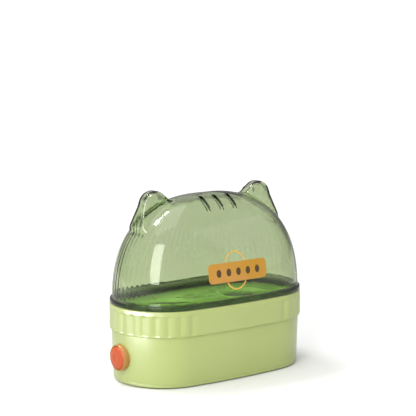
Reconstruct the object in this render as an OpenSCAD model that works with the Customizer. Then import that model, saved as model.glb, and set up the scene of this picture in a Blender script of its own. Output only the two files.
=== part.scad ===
// Two-egg electric steam cooker: an oval base with a fluted collar, a water pan on a
// heater, a lift-out egg tray and a clear domed lid with two small ears.
// The origin is on the table under the middle of the base; +X runs along the base,
// the push button is at -X, the mains inlet at +X, and -Y is the front.

/* [Plan outline] */
// Half of the length of the collar
half_length = 65; // [62:0.5:68]
// Half of the depth of the collar
half_depth = 34.9; // [34.5:0.1:38]
// Radius of the round ends of the collar
end_radius = 33.3; // [32:0.1:33.5]

/* [Heights] */
// Height of the rubber feet under the base
foot_gap = 0.6; // [0.4:0.1:1.5]
// Height of the joint between housing and collar
seam_height = 30.9; // [29:0.1:32]
// Height of the collar's rim
rim_height = 46.6; // [46:0.1:48]
// Height of the top of the dome
dome_top = 110.1; // [106:0.1:114]

/* [Housing] */
// How far the housing stands in from the collar at the joint
housing_inset_top = 1.3; // [1:0.1:1.6]
// How far the housing stands in from the collar at the bottom
housing_inset_bottom = 2.1; // [1.6:0.1:2.4]
// Wall thickness of the housing and the collar
wall = 2.0; // [1.8:0.1:2.2]

/* [Flutes] */
// Flutes round each end of the collar
flutes_end = 13; // [9:1:15]
// Flutes along each side of the collar
flutes_side = 7; // [5:1:9]
// Depth of a flute
flute_depth = 0.6; // [0.2:0.1:0.8]

/* [Lid] */
// Half of the length of the dome at its foot
dome_length = 63.5; // [62.5:0.1:64]
// Half of the depth of the dome at its foot
dome_depth = 32.6; // [31.5:0.1:33]
// Wall thickness of the lid
lid_wall = 1.8; // [1.5:0.1:2.2]
// Middle of each ear along X
ear_x = 39.3; // [38:0.1:43]
// Height of the ear tips
ear_top = 113.9; // [112:0.1:116]

/* [Egg tray] */
// Distance of each egg seat from the middle
seat_x = 28; // [27:0.5:29]
// Radius of the hole in an egg seat
seat_radius = 13; // [11:0.5:14]

/* [Button] */
// Height of the button's axis
button_z = 16.5; // [15.5:0.1:17.5]
// Outer radius of the button's bezel
bezel_radius = 7.9; // [7.5:0.1:8.3]
// Travel of the button
button_travel = 2.5; // [1.5:0.1:2.8]

/* [Mains inlet] */
// Distance between the two pins
pin_spacing = 8.6; // [8.6:0.1:8.6]
// Radius of a pin
pin_radius = 1.18; // [1.15:0.01:1.2]

/* [Hidden] */

eps = 0.01;
gap = 0.05;

// Cover, feet and the four long screws that hold cover, housing and collar together
cover_plate = 2.0;
cover_top = foot_gap + cover_plate;
cover_inset = housing_inset_bottom + 0.2;
foot_radius = 4.5;
foot_recess = 1.4;
foot_x = 52;
foot_y = 10;
foot_places = [[foot_x, foot_y], [foot_x, -foot_y], [-foot_x, foot_y], [-foot_x, -foot_y]];
screw_inset = 8;
screw_angle = 60;
rib_gap = 0.2;
rib_wall = 1.2;
rib_height = 2;
bracket_post_places = [[-47, 7], [-47, -7]];
bracket_post_radius = 2.6;
bracket_post_top = 6;
bracket_post_floor = 3.4;
vent_places = [14:6:38];
vent_width = 2;
vent_half = 11;
plate_low = [-38, -9];
plate_high = [2, 9];
plate_sheet = 0.3;
plate_play = 0.2;
end_centre = half_length - end_radius;
screw_x = end_centre + (end_radius - screw_inset) * cos(screw_angle);
screw_y = (end_radius - screw_inset) * sin(screw_angle);
screw_places = [[screw_x, screw_y], [screw_x, -screw_y], [-screw_x, screw_y],
    [-screw_x, -screw_y]];
post_radius = 4;
post_top = 12;
post_floor = 6;
screw_hole = 1.7;
screw_shank = 1.48;
thread_bore = 1.5;
head_radius = 2.8;
head_bore = 3.3;

// Collar: the web carries the pan's gasket
web_bottom = 36.4;
web_top = 38.4;
web_inset = 12.5;
skirt_drop = 3.5;
skirt_gap = 0.3;
skirt_wall = 1.8;
collar_foot_inset = 0.5;
rim_inset = 0.2;
inner_wall = wall + 0.4;
boss_radius = post_radius - 0.2;
thread_top = 24;
cover_screw_head = 3.6;
cover_screw_tip = 21;
smooth_top = 44.4;
smooth_bottom = 31.4;

// Water pan, clamped to the collar's web through its gasket
sheet = 0.8;
gasket_top = web_top + 1;
flange_top = gasket_top + sheet;
pan_inset = 12.8;
pan_flange_inset = 3;
pan_floor = 26;
pan_boss_radius = 2.4;
pan_boss_height = 1.2;
gasket_outer = 4;
gasket_inner = 12.6;
pan_screw_x = 18;
pan_screw_y = 24.9;
pan_screw_places = [[pan_screw_x, pan_screw_y], [pan_screw_x, -pan_screw_y],
    [-pan_screw_x, pan_screw_y], [-pan_screw_x, -pan_screw_y]];

// Heater under the pan: a U-shaped tube held to a thick aluminium plate
spreader_bottom = 24;
spreader_length = 44;
spreader_depth = 18;
tube_radius = 3.25;
tube_z = spreader_bottom - tube_radius - gap;
bend_x = -14;
bend_radius = 12;
run_end = 34;
cold_end = 39;
cold_radius = 1.2;
clip_places = [8, 28];
clip_width = 7;
clip_tab = 9;
clip_screw_y = bend_radius - 6.8;
clip_sheet = 0.8;
strap_sheet = 0.9;
small_shank = 1.45;
small_hole = 1.5;
small_play = 0.1;
small_head_bottom = 21.3;
small_head_height = 1.8;
small_tip = 25.3;
small_bore_top = 25.4;

// Thermostat and thermal fuse between the two runs of the tube
thermostat_x = -9;
can_radius = 7.7;
can_bottom = 16.6;
can_foot = 14.2;
thermostat_reach = 12;
thermostat_half_y = 3.5;
thermostat_screw_x = 10;
tag_x = 4;
tag_half = 0.4;
tag_half_width = 3.1;
tag_bottom = 8;
fuse_x = 16;
fuse_z = 21.4;
fuse_radius = 2;
fuse_length = 12;
fuse_lead = 3;
fuse_lead_radius = 0.6;
fuse_clip_half = 2.5;
fuse_clip_reach = 7;
fuse_clip_sheet = 0.6;
fuse_screw_y = -5;

// Push button: everything turns about the axis at y = 0, z = button_z
wall_x = half_length - housing_inset_bottom
    + (housing_inset_bottom - housing_inset_top) * (button_z - cover_top)
    / (seam_height - cover_top);
bezel_front = wall_x + 3.1;
cap_front = wall_x + 1.8 + button_travel;
cap_face_radius = 30;
cap_wall = 1.3;
cap_skin = 2;
barrel_radius = 7.5;
barrel_end = 60.6;
bezel_bore = 6.95;
cap_radius = 6.87;
cap_back = 59.7;
plunger_radius = 2;
plunger_end = 48;
bracket_x = 53.5;
bracket_sheet = 1.5;
bracket_half = 10;
bracket_bottom = 6;
bracket_top = 25;
bracket_foot_end = 43.5;
switch_length = 12;
switch_half_y = 6.5;
switch_bottom = 9.5;
switch_top = 23.5;
switch_tags = [13, 20];
switch_tag_length = 7;
switch_tag_half_width = 2.4;
spring_radius = 3.4;
spring_wire = 0.3;
spring_turns = 6;
lamp_y = 9.5;
lamp_radius = 1.8;
lamp_front = 56.2;
lamp_back = 50;

// Mains inlet at the +X end
inlet_face = 64.2;
inlet_back = 48;
inlet_floor = 56;
inlet_half_y = 9.1;
inlet_half_z = 5.6;
inlet_z = 15;
socket_radius = 4;
socket_y = 3.5;
inlet_lip = 0.6;
inlet_shoulder = 63;
inlet_groove = 58;
inlet_groove_width = 1.2;
inlet_clip_sheet = 1;
inlet_clip_reach = 1.1;
inlet_clip_bite = 0.9;
inlet_clip_low = 7;
inlet_clip_high = 8;
inlet_clip_bridge = 5.2;
inlet_body_y = inlet_half_y - inlet_lip;
pin_back = inlet_back - 6;
pin_length = 20.2;
sleeve_radius = 1.9;
sleeve_bore = 1.25;

// Dome: half length and half depth shrink with height like two halves of a superellipse
dome_power_x = 2.46;
dome_power_y = 2.0;
dome_end_share = 0.955;
dome_steps = 11;
lip_top = rim_height + 3;
lid_crown = 90;

// Tray and lid fit inside the collar's rim
tray_top = 43.6;
tray_plate = 1.6;
tray_inset = wall + 0.7;
tray_skirt = 1.6;
seat_ring = 3.2;
seat_rise = 0.9;
seat_drop = 3;
seat_cone = 2.2;
seat_lip = 1.2;
drain_from = seat_radius + 5.5;
drain_to = seat_radius + 9;
drain_half_width = 1.3;
middle_slots = [-16, -8, 0, 8, 16];
middle_slot_half_length = 3.5;
middle_slot_half_width = 1.5;
lip_outer_inset = 0.3;
lip_inner_inset = 3.4;
lid_skirt_drop = 2.4;
lid_skirt_inset = wall + 0.7;
lid_skirt_wall = 1.5;
ear_y = 1;
// Discs that an ear is hulled from: [x, z, radius, half thickness]
ear_discs = [[ear_x, ear_top - 8.7, 8.7, 2.5], [ear_x, ear_top - 9.2, 7.4, 4.2],
    [28.2, 99, 5.9, 5.2], [47.5, 93.2, 4.6, 5.5], [44, 87, 3, 5.5], [38, 92, 3, 8]];
slot_pitch = 10;
slot_width = 2.2;
slot_back = -7;
slot_front = -14.5;
badge_z = 65.8;
badge_length = 43.4;
badge_height = 11.6;
badge_corner = 2.6;
badge_skin = 0.45;
emblem_place = [-1.5, 66.5];
emblem_outer = 11.5;
emblem_inner = 10.7;
emblem_skin = 0.3;
skin_half_x = 24;
skin_bottom = 54;
skin_top = 80;

// ---------------------------------------------------------------- outlines

// Points of one arc, without its last point
function arc(cx, cy, r, from, to, n) =
    [for (i = [0:n - 1]) let (a = from + (to - from) * i / n) [cx + r * cos(a), cy + r * sin(a)]];

// Radius of the long side arcs of a four-arc oval
function side_radius(l, d, e) = (pow(l - e, 2) + d * d - e * e) / (2 * (d - e));

// Four-arc oval with half length l, half depth d and end radius e
function oval(l, d, e, n_end = 20, n_side = 12) =
    let (r = side_radius(l, d, e), j = atan2(r - d, l - e))
    concat(
        arc(l - e, 0, e, -j, j, n_end),
        arc(0, d - r, r, j, 180 - j, n_side),
        arc(e - l, 0, e, 180 - j, 180 + j, n_end),
        arc(0, r - d, r, 180 + j, 360 - j, n_side));

// The collar's oval moved inwards
function plan(inset) = oval(half_length - inset, half_depth - inset, end_radius - inset);

// One arc of scallops: crests on the arc, grooves flute_depth inside it
function scallops(cx, cy, r, from, to, count, fine = 6) =
    [for (i = [0:count * fine - 1])
        let (a = from + (to - from) * i / (count * fine),
            s = r - flute_depth * (1 - sin(180 * (i % fine) / fine)))
        [cx + s * cos(a), cy + s * sin(a)]];

// The fluted outline of the collar
function fluted_plan() =
    let (e = end_radius, l = half_length, d = half_depth,
        r = side_radius(l, d, e), j = atan2(r - d, l - e))
    concat(
        scallops(l - e, 0, e, -j, j, flutes_end),
        scallops(0, d - r, r, j, 180 - j, flutes_side),
        scallops(e - l, 0, e, 180 - j, 180 + j, flutes_end),
        scallops(0, r - d, r, 180 + j, 360 - j, flutes_side));

// Half sizes of the dome at the height fraction t
function shrink(t, power) = pow(max(1 - pow(t, power), 0), 1 / power);
function dome_half_length(t, inset) = max((dome_length - inset) * shrink(t, dome_power_x), 0.5);
function dome_half_depth(t, inset) = max((dome_depth - inset) * shrink(t, dome_power_y), 0.4);

// Front surface of the dome at x and height z, as a negative y
function dome_front(x, z) =
    let (t = (z - rim_height) / (dome_top - rim_height),
        l = dome_half_length(t, 0), d = dome_half_depth(t, 0),
        r = side_radius(l, d, dome_end_share * d))
    r - d - sqrt(r * r - x * x);

// ---------------------------------------------------------------- shared shapes

module oval_plate(inset, from, to) {
    translate([0, 0, from]) linear_extrude(to - from) polygon(plan(inset));
}

module oval_ring(outer, inner, from, to) {
    difference() {
        oval_plate(outer, from, to);
        oval_plate(inner, from - 1, to + 1);
    }
}

module tapered_oval(inset_low, inset_high, from, to) {
    hull() {
        oval_plate(inset_low, from, from + eps);
        oval_plate(inset_high, to - eps, to);
    }
}

module at(places) {
    for (p = places) translate([p[0], p[1], 0]) children();
}

module rod(r, from, to) {
    translate([0, 0, from]) cylinder(r = r, h = to - from, $fn = 32);
}

// A rod along X on the button's axis, from -x_out to -x_in
module axis_rod(r, x_out, x_in) {
    translate([-x_out, 0, button_z]) rotate([0, 90, 0]) cylinder(r = r, h = x_out - x_in, $fn = 48);
}

module block(low, high) {
    translate(low) cube(high - low);
}

// A machine screw with its head below, from head_bottom up to tip
module screw(head_bottom, head_height, tip, shank, head) {
    difference() {
        union() {
            rod(head, head_bottom, head_bottom + head_height);
            rod(shank, head_bottom + head_height - eps, tip);
        }
        for (a = [0, 90]) translate([0, 0, head_bottom]) rotate([0, 0, a])
            cube([head * 1.2, 0.7, 1.6], center = true);
    }
}

// A round wire or tube swept through the given points
function unit(v) = v / norm(v);
function sweep_side(d) = unit(cross(d, abs(d[2]) > 0.9 ? [1, 0, 0] : [0, 0, 1]));
function sweep_dir(p, i) = unit(p[min(i + 1, len(p) - 1)] - p[max(i - 1, 0)]);
module swept(p, r, sides = 8) {
    rings = [for (i = [0:len(p) - 1])
        let (d = sweep_dir(p, i), u = sweep_side(d), v = cross(d, u))
        for (k = [0:sides - 1]) p[i] + r * (cos(360 * k / sides) * u + sin(360 * k / sides) * v)];
    last = (len(p) - 1) * sides;
    polyhedron(rings, concat(
        [[for (k = [0:sides - 1]) k]],
        [for (i = [0:len(p) - 2], k = [0:sides - 1])
            [i * sides + (k + 1) % sides, i * sides + k,
             (i + 1) * sides + k, (i + 1) * sides + (k + 1) % sides]],
        [[for (k = [0:sides - 1]) last + sides - 1 - k]]));
}

// Smooth route through hand-chosen points
function spline_at(a, b, c, d, t) =
    0.5 * (2 * b + (c - a) * t + (2 * a - 5 * b + 4 * c - d) * t * t
    + (3 * b - a - 3 * c + d) * t * t * t);
function smooth_route(p, n = 5) =
    let (m = len(p) - 1)
    concat([for (i = [0:m - 1], k = [0:n - 1])
        spline_at(p[max(i - 1, 0)], p[i], p[i + 1], p[min(i + 2, m)], k / n)], [p[m]]);

// ---------------------------------------------------------------- base shells

module bottom_cover() {
    color("palegreen") difference() {
        union() {
            oval_plate(cover_inset, foot_gap, cover_top);
            oval_ring(housing_inset_bottom + wall + rib_gap,
                housing_inset_bottom + wall + rib_gap + rib_wall,
                cover_top - eps, cover_top + rib_height);
            at(screw_places) rod(post_radius, cover_top - eps, post_top);
            at(bracket_post_places) rod(bracket_post_radius, cover_top - eps, bracket_post_top);
        }
        at(screw_places) {
            rod(head_bore, 0, post_floor);
            rod(screw_hole, 0, post_top + 1);
        }
        at(foot_places) rod(foot_radius + 0.1, 0, foot_gap + foot_recess);
        at(bracket_post_places) rod(thread_bore, bracket_post_floor, bracket_post_top + 1);
        for (x = vent_places) block([x, -vent_half, 0], [x + vent_width, vent_half, cover_top + 1]);
        block([plate_low[0] - plate_play, plate_low[1] - plate_play, 0],
            [plate_high[0] + plate_play, plate_high[1] + plate_play, foot_gap + plate_sheet + gap]);
    }
}

module rubber_feet() {
    color("dimgray") at(foot_places) {
        translate([0, 0, foot_gap]) cylinder(r = foot_radius, h = foot_recess, $fn = 40);
        cylinder(r1 = foot_radius - 0.7, r2 = foot_radius - 0.3, h = foot_gap, $fn = 40);
    }
}

module rating_plate() {
    color("silver") block([plate_low[0], plate_low[1], foot_gap],
        [plate_high[0], plate_high[1], foot_gap + plate_sheet]);
}

module lower_housing() {
    color("darkseagreen") difference() {
        tapered_oval(housing_inset_bottom, housing_inset_top, cover_top, seam_height);
        tapered_oval(housing_inset_bottom + wall, housing_inset_top + wall,
            cover_top - 1, seam_height + 1);
        axis_rod(barrel_radius + 0.1, 70, 50);
        block([50, -inlet_body_y - 0.1, inlet_z - inlet_half_z + inlet_lip - 0.1],
            [70, inlet_body_y + 0.1, inlet_z + inlet_half_z - inlet_lip + 0.1]);
    }
}

// Tongue under the collar that centres it in the housing
module collar_tongue() {
    oval_ring(housing_inset_top + wall + skirt_gap, housing_inset_top + wall + skirt_gap + skirt_wall,
        seam_height - skirt_drop, web_bottom + eps);
}

module fluted_collar() {
    color("darkseagreen") difference() {
        union() {
            oval_plate(collar_foot_inset, seam_height, smooth_bottom);
            translate([0, 0, smooth_bottom - eps]) linear_extrude(smooth_top - smooth_bottom
                + 2 * eps) polygon(fluted_plan());
            oval_plate(rim_inset, smooth_top, rim_height);
            collar_tongue();
            at(screw_places) rod(boss_radius, post_top, web_bottom + eps);
        }
        oval_plate(inner_wall, web_top, rim_height + 1);
        difference() {
            oval_plate(inner_wall, seam_height - eps, web_bottom);
            at(screw_places) rod(boss_radius, 0, web_bottom);
            collar_tongue();
        }
        oval_plate(web_inset, seam_height - skirt_drop - 1, web_top + 1);
        at(screw_places) rod(thread_bore, 0, thread_top);
        at(pan_screw_places) rod(screw_hole, web_bottom - 1, web_top + 1);
    }
}

module cover_screws() {
    color("silver") at(screw_places) screw(cover_screw_head,
        post_floor - cover_screw_head, cover_screw_tip, screw_shank, head_radius);
}

// ---------------------------------------------------------------- water pan and heater

module pan_gasket() {
    color("white") difference() {
        oval_ring(gasket_outer, gasket_inner, web_top, gasket_top);
        at(pan_screw_places) rod(screw_hole, web_top - 1, gasket_top + 1);
    }
}

module water_pan() {
    color("gainsboro") difference() {
        union() {
            oval_plate(pan_flange_inset, gasket_top, flange_top);
            oval_plate(pan_inset, pan_floor, flange_top);
            at(pan_screw_places) rod(pan_boss_radius, gasket_top, flange_top + pan_boss_height);
        }
        oval_plate(pan_inset + sheet, pan_floor + sheet, flange_top + 2);
        at(pan_screw_places) rod(thread_bore, gasket_top - 1, flange_top + 2);
    }
}

module pan_screws() {
    color("silver") at(pan_screw_places)
        screw(web_bottom - 2, 2, flange_top + 1, screw_shank, head_radius);
}

module heat_spreader() {
    color("lightgray") difference() {
        translate([0, 0, spreader_bottom]) linear_extrude(pan_floor - spreader_bottom)
            polygon(oval(spreader_length, spreader_depth, spreader_depth - 1.2));
        for (x = clip_places, s = [-1, 1])
            translate([x, s * clip_screw_y, 0]) rod(small_hole, 20, small_bore_top);
        for (s = [-1, 1]) translate([thermostat_x + s * thermostat_screw_x, 0, 0])
            rod(small_hole, 20, small_bore_top);
        translate([fuse_x, fuse_screw_y, 0]) rod(small_hole, 20, small_bore_top);
    }
}

module heating_element() {
    color("darkgray") {
        translate([bend_x, 0, tube_z]) rotate([0, 0, 90])
            rotate_extrude(angle = 180, $fn = 64)
            translate([bend_radius, 0]) circle(r = tube_radius, $fn = 32);
        for (y = [-bend_radius, bend_radius]) translate([bend_x, y, tube_z]) rotate([0, 90, 0]) {
            cylinder(r = tube_radius, h = run_end - bend_x, $fn = 32);
            cylinder(r = cold_radius, h = cold_end - bend_x, $fn = 24);
        }
    }
}

// A strap over one run of the tube, with one screw tab towards the middle
module element_clip(x, side) {
    tab = side * (bend_radius - clip_tab);
    translate([x, 0, 0]) difference() {
        union() {
            translate([-clip_width / 2, side * bend_radius, tube_z]) rotate([0, 90, 0])
                cylinder(r = tube_radius + strap_sheet, h = clip_width, $fn = 48);
            block([-clip_width / 2, min(tab, side * bend_radius), spreader_bottom - gap - clip_sheet],
                [clip_width / 2, max(tab, side * bend_radius), spreader_bottom - gap]);
        }
        translate([-clip_width, side * bend_radius, tube_z]) rotate([0, 90, 0])
            cylinder(r = tube_radius + gap, h = 2 * clip_width, $fn = 48);
        block([-clip_width, side * bend_radius - tube_radius - gap, tube_z],
            [clip_width, side * bend_radius + tube_radius + gap, spreader_bottom + 5]);
        block([-clip_width, -40, spreader_bottom - gap], [clip_width, 40, spreader_bottom + 9]);
        translate([0, side * clip_screw_y, 0]) rod(small_hole + small_play, 20, 25);
    }
}

module element_clips() {
    color("silver") for (x = clip_places, s = [-1, 1]) element_clip(x, s);
}

module clip_screws() {
    color("gray") {
        for (x = clip_places, s = [-1, 1]) translate([x, s * clip_screw_y, 0])
            screw(small_head_bottom, small_head_height, small_tip, small_shank, 2.4);
        translate([fuse_x, fuse_screw_y, 0])
            screw(small_head_bottom, small_head_height + 0.2, small_tip, small_shank, 1.9);
    }
}

module thermostat() {
    color("peru") translate([thermostat_x, 0, 0]) difference() {
        union() {
            rod(can_radius, can_bottom, spreader_bottom - gap);
            rod(can_radius - 1.2, can_foot, can_bottom + eps);
            block([-thermostat_reach, -thermostat_half_y, spreader_bottom - clip_sheet - gap],
                [thermostat_reach, thermostat_half_y, spreader_bottom - gap]);
            for (s = [-1, 1]) block([s * tag_x - tag_half, -tag_half_width, tag_bottom],
                [s * tag_x + tag_half, tag_half_width, can_foot + eps]);
        }
        for (s = [-1, 1]) translate([s * thermostat_screw_x, 0, 0])
            rod(small_hole + small_play, 20, 25);
    }
}

module thermostat_screws() {
    color("gray") for (s = [-1, 1]) translate([thermostat_x + s * thermostat_screw_x, 0, 0])
        screw(small_head_bottom, small_head_height, small_tip, small_shank, 2.1);
}

module thermal_fuse() {
    color("whitesmoke") {
        translate([fuse_x - fuse_length / 2, 0, fuse_z]) rotate([0, 90, 0])
            cylinder(r = fuse_radius, h = fuse_length, $fn = 32);
        translate([fuse_x - fuse_length / 2 - fuse_lead, 0, fuse_z]) rotate([0, 90, 0])
            cylinder(r = fuse_lead_radius, h = fuse_length + 2 * fuse_lead, $fn = 16);
    }
}

module fuse_clip() {
    color("silver") difference() {
        union() {
            translate([fuse_x - fuse_clip_half, 0, fuse_z]) rotate([0, 90, 0])
                cylinder(r = fuse_radius + fuse_clip_sheet, h = 2 * fuse_clip_half, $fn = 40);
            block([fuse_x - fuse_clip_half, -fuse_clip_reach,
                spreader_bottom - gap - fuse_clip_sheet],
                [fuse_x + fuse_clip_half, 0, spreader_bottom - gap]);
        }
        translate([fuse_x - fuse_clip_half - 1, 0, fuse_z]) rotate([0, 90, 0])
            cylinder(r = fuse_radius + gap, h = 2 * fuse_clip_half + 2, $fn = 40);
        translate([fuse_x, fuse_screw_y, 0]) rod(small_hole + small_play, 20, 25);
    }
}

// ---------------------------------------------------------------- push button and switch

module button_bezel() {
    color("goldenrod") difference() {
        union() {
            axis_rod(bezel_radius, bezel_front, wall_x);
            axis_rod(barrel_radius, wall_x + eps, barrel_end);
        }
        axis_rod(bezel_bore, 70, 50);
        // The flange's back follows the curved end of the housing
        difference() {
            axis_rod(bezel_radius + 1, wall_x + 2, wall_x - 3);
            axis_rod(barrel_radius, wall_x + 3, wall_x - 4);
            block([-wall_x - 2, -9, 0], [-wall_x + eps, 9, 40]);
        }
    }
}

module button_cap() {
    color("coral") difference() {
        union() {
            intersection() {
                axis_rod(cap_radius, cap_front, cap_back);
                translate([-cap_front + cap_face_radius, 0, button_z])
                    sphere(r = cap_face_radius, $fn = 96);
            }
            axis_rod(barrel_radius - 0.1, barrel_end - 0.1, cap_back);
        }
        axis_rod(cap_radius - cap_wall, cap_front - cap_skin, 50);
    }
}

module button_plunger() {
    color("white") axis_rod(plunger_radius, cap_front - cap_skin, plunger_end);
}

module button_spring() {
    start = cap_front - cap_skin - spring_wire;
    finish = bracket_x + spring_wire;
    steps = 12;
    color("silver") swept([for (i = [0:spring_turns * steps])
        let (a = 360 * i / steps, x = start + (finish - start) * i / (spring_turns * steps))
        [-x, spring_radius * cos(a), button_z + spring_radius * sin(a)]], spring_wire, 6);
}

module switch_bracket() {
    back = bracket_x - bracket_sheet;
    color("silver") difference() {
        union() {
            block([-bracket_x, -bracket_half, bracket_bottom],
                [-back, bracket_half + 2, bracket_top]);
            block([-bracket_x, -bracket_half, bracket_bottom],
                [-bracket_foot_end, bracket_half, bracket_bottom + bracket_sheet]);
        }
        axis_rod(plunger_radius + 0.2, 60, 40);
        translate([0, lamp_y, 0]) axis_rod(lamp_radius + gap, 60, 40);
        at(bracket_post_places) rod(screw_hole, bracket_bottom - 1, bracket_bottom + 3);
    }
}

module switch_body() {
    back = bracket_x - bracket_sheet;
    color("dimgray") difference() {
        union() {
            block([-back, -switch_half_y, switch_bottom],
                [-back + switch_length, switch_half_y, switch_top]);
            for (z = switch_tags)
                block([-back + switch_length - eps, -switch_tag_half_width, z - tag_half],
                    [-back + switch_length + switch_tag_length, switch_tag_half_width, z + tag_half]);
        }
        axis_rod(plunger_radius + 0.08, 60, 44);
    }
}

module bracket_screws() {
    top = bracket_bottom + bracket_sheet + small_head_height;
    color("gray") at(bracket_post_places) translate([0, 0, top]) mirror([0, 0, 1])
        screw(0, small_head_height - gap, top - bracket_post_floor - 0.5, small_shank, 2.6);
}

module indicator_lamp() {
    color("orangered") translate([0, lamp_y, 0]) {
        axis_rod(lamp_radius, lamp_front, lamp_back);
        translate([-lamp_front, 0, button_z]) sphere(r = lamp_radius, $fn = 32);
    }
}

// ---------------------------------------------------------------- mains inlet and wiring

module socket_outline(grow) {
    square([2 * socket_y, 2 * (socket_radius + grow)], center = true);
    for (s = [-1, 1]) translate([s * socket_y, 0]) circle(r = socket_radius + grow, $fn = 48);
}

module along_x(x, h) {
    translate([x, 0, inlet_z]) rotate([90, 0, 90]) linear_extrude(h) children();
}

module power_inlet() {
    color("dimgray") difference() {
        union() {
            difference() {
                block([60, -inlet_half_y, inlet_z - inlet_half_z],
                    [inlet_face, inlet_half_y, inlet_z + inlet_half_z]);
                tapered_oval(housing_inset_bottom, housing_inset_top, cover_top, seam_height);
            }
            block([inlet_back, -inlet_body_y, inlet_z - inlet_half_z + inlet_lip],
                [inlet_shoulder, inlet_body_y, inlet_z + inlet_half_z - inlet_lip]);
        }
        along_x(inlet_floor, 20) socket_outline(0);
        for (y = [-pin_spacing / 2, pin_spacing / 2]) translate([inlet_back - 1, y, inlet_z])
            rotate([0, 90, 0]) cylinder(r = pin_radius, h = 20, $fn = 32);
        // Groove for the spring clip that holds the inlet in the wall
        for (s = [0, 1]) mirror([0, s, 0])
            block([inlet_groove, inlet_body_y - 1, 0],
                [inlet_groove + inlet_groove_width, inlet_body_y + eps, 40]);
    }
}

module inlet_pins() {
    color("silver") for (y = [-pin_spacing / 2, pin_spacing / 2])
        translate([pin_back, y, inlet_z]) rotate([0, 90, 0]) {
            cylinder(r = pin_radius, h = pin_length, $fn = 32);
            translate([0, 0, pin_length]) sphere(r = pin_radius, $fn = 32);
        }
}

module inlet_clip() {
    color("silver") difference() {
        block([inlet_groove + 0.1, -inlet_body_y - inlet_clip_reach, inlet_z - inlet_clip_low],
            [inlet_groove + 0.1 + inlet_clip_sheet, inlet_body_y + inlet_clip_reach,
                inlet_z + inlet_clip_high]);
        block([inlet_groove - 1, -inlet_body_y + inlet_clip_bite, 0],
            [inlet_groove + 2, inlet_body_y - inlet_clip_bite, inlet_z + inlet_clip_bridge]);
    }
}

// Wires run along hand-chosen points, from terminal to terminal
live_route = [[41.8, 4.3, 15], [41.2, 4.3, 15], [40, 4.3, 15], [34, 7, 11], [26, 10, 8], [10, 12, 6],
    [-14, 12, 6], [-24, 8, 8], [-29, 3, 12], [-31, 0, 13], [-32.9, 0, 13]];
switched_route = [[-32.9, 0, 20], [-31.6, 0, 20], [-30.6, 0.5, 17.5], [-29, 1.5, 14.5],
    [-24, 2.5, 11], [-18, 1.5, 9.5], [-15, 0, 9.2], [-13.5, 0, 9.2]];
fuse_route = [[-4.4, 0, 9.2], [-3.9, 0, 9.2], [-2.6, 0, 9.3], [1, -1.5, 13], [3.5, -1.5, 18],
    [5.2, 0, 21.4], [6.9, 0, 21.4]];
heater_route = [[25.1, 0, 21.4], [26.8, 0, 21.4], [29, 1.5, 19], [33, 6, 15], [38, 10, 14],
    [42.5, 12, 16.5], [43, 12, 19.4], [41.2, 12, 20.7], [39.1, 12, 20.7]];
neutral_route = [[41.8, -4.3, 15], [41.2, -4.3, 15], [40, -4.3, 15], [36.5, -7, 13.5], [38, -10, 14],
    [42.5, -12, 16.5], [43, -12, 19.4], [41.2, -12, 20.7], [39.1, -12, 20.7]];
wire_radius = 0.9;

module wire(route) {
    swept(smooth_route(route), wire_radius, 8);
}

module wire_live() {
    color("saddlebrown") wire(live_route);
}

module wire_switched() {
    color("black") wire(switched_route);
}

module wire_fuse_link() {
    color("white") {
        wire(fuse_route);
        wire(heater_route);
    }
}

module wire_neutral() {
    color("royalblue") wire(neutral_route);
}

module sleeve(x, y, z, length) {
    translate([x, y, z]) rotate([0, 90, 0]) difference() {
        cylinder(r = sleeve_radius, h = length, $fn = 24);
        translate([0, 0, -1]) cylinder(r = sleeve_bore, h = length + 2, $fn = 24);
    }
}

module wire_terminals() {
    color("lightgray") {
        for (y = [-pin_spacing / 2, pin_spacing / 2]) sleeve(pin_back - 0.8, y, inlet_z, 5);
        for (y = [-bend_radius, bend_radius]) sleeve(run_end + 0.4, y, tube_z, 4);
    }
}

// ---------------------------------------------------------------- egg tray

module tray_slot(angle, from, to, half_width) {
    rotate([0, 0, angle]) linear_extrude(6) {
        translate([from, -half_width]) square([to - from, 2 * half_width]);
        for (x = [from, to]) translate([x, 0]) circle(r = half_width, $fn = 24);
    }
}

module egg_tray() {
    color("yellowgreen") difference() {
        union() {
            oval_plate(tray_inset, tray_top - tray_plate, tray_top);
            oval_ring(tray_inset, tray_inset + tray_skirt, flange_top + gap, tray_top);
            for (x = [-seat_x, seat_x]) translate([x, 0, 0])
                rod(seat_radius + seat_ring, tray_top - seat_drop, tray_top + seat_rise);
        }
        for (x = [-seat_x, seat_x]) translate([x, 0, 0]) {
            translate([0, 0, tray_top - 4]) cylinder(r = seat_radius, h = 6, $fn = 64);
            translate([0, 0, tray_top - seat_lip]) cylinder(r1 = seat_radius,
                r2 = seat_radius + seat_cone, h = seat_cone, $fn = 64);
            translate([0, 0, tray_top - 4]) for (a = [40:40:320])
                tray_slot(a, drain_from, drain_to, drain_half_width);
        }
        for (y = middle_slots) translate([0, y, tray_top - 4])
            tray_slot(0, -middle_slot_half_length, middle_slot_half_length, middle_slot_half_width);
    }
}

// ---------------------------------------------------------------- lid

module dome_section(t, inset, z) {
    l = dome_half_length(t, inset);
    d = dome_half_depth(t, inset);
    translate([0, 0, z]) linear_extrude(eps) polygon(oval(l, d, dome_end_share * d, 14, 8));
}

// Stack of hulls between neighbouring sections of the dome
module dome(inset) {
    rise = dome_top - inset - rim_height;
    for (i = [0:dome_steps - 1]) hull() {
        dome_section(sin(90 * i / dome_steps), inset, rim_height + rise * sin(90 * i / dome_steps));
        dome_section(sin(90 * (i + 1) / dome_steps), inset,
            rim_height + rise * sin(90 * (i + 1) / dome_steps) - eps);
    }
}

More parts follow.
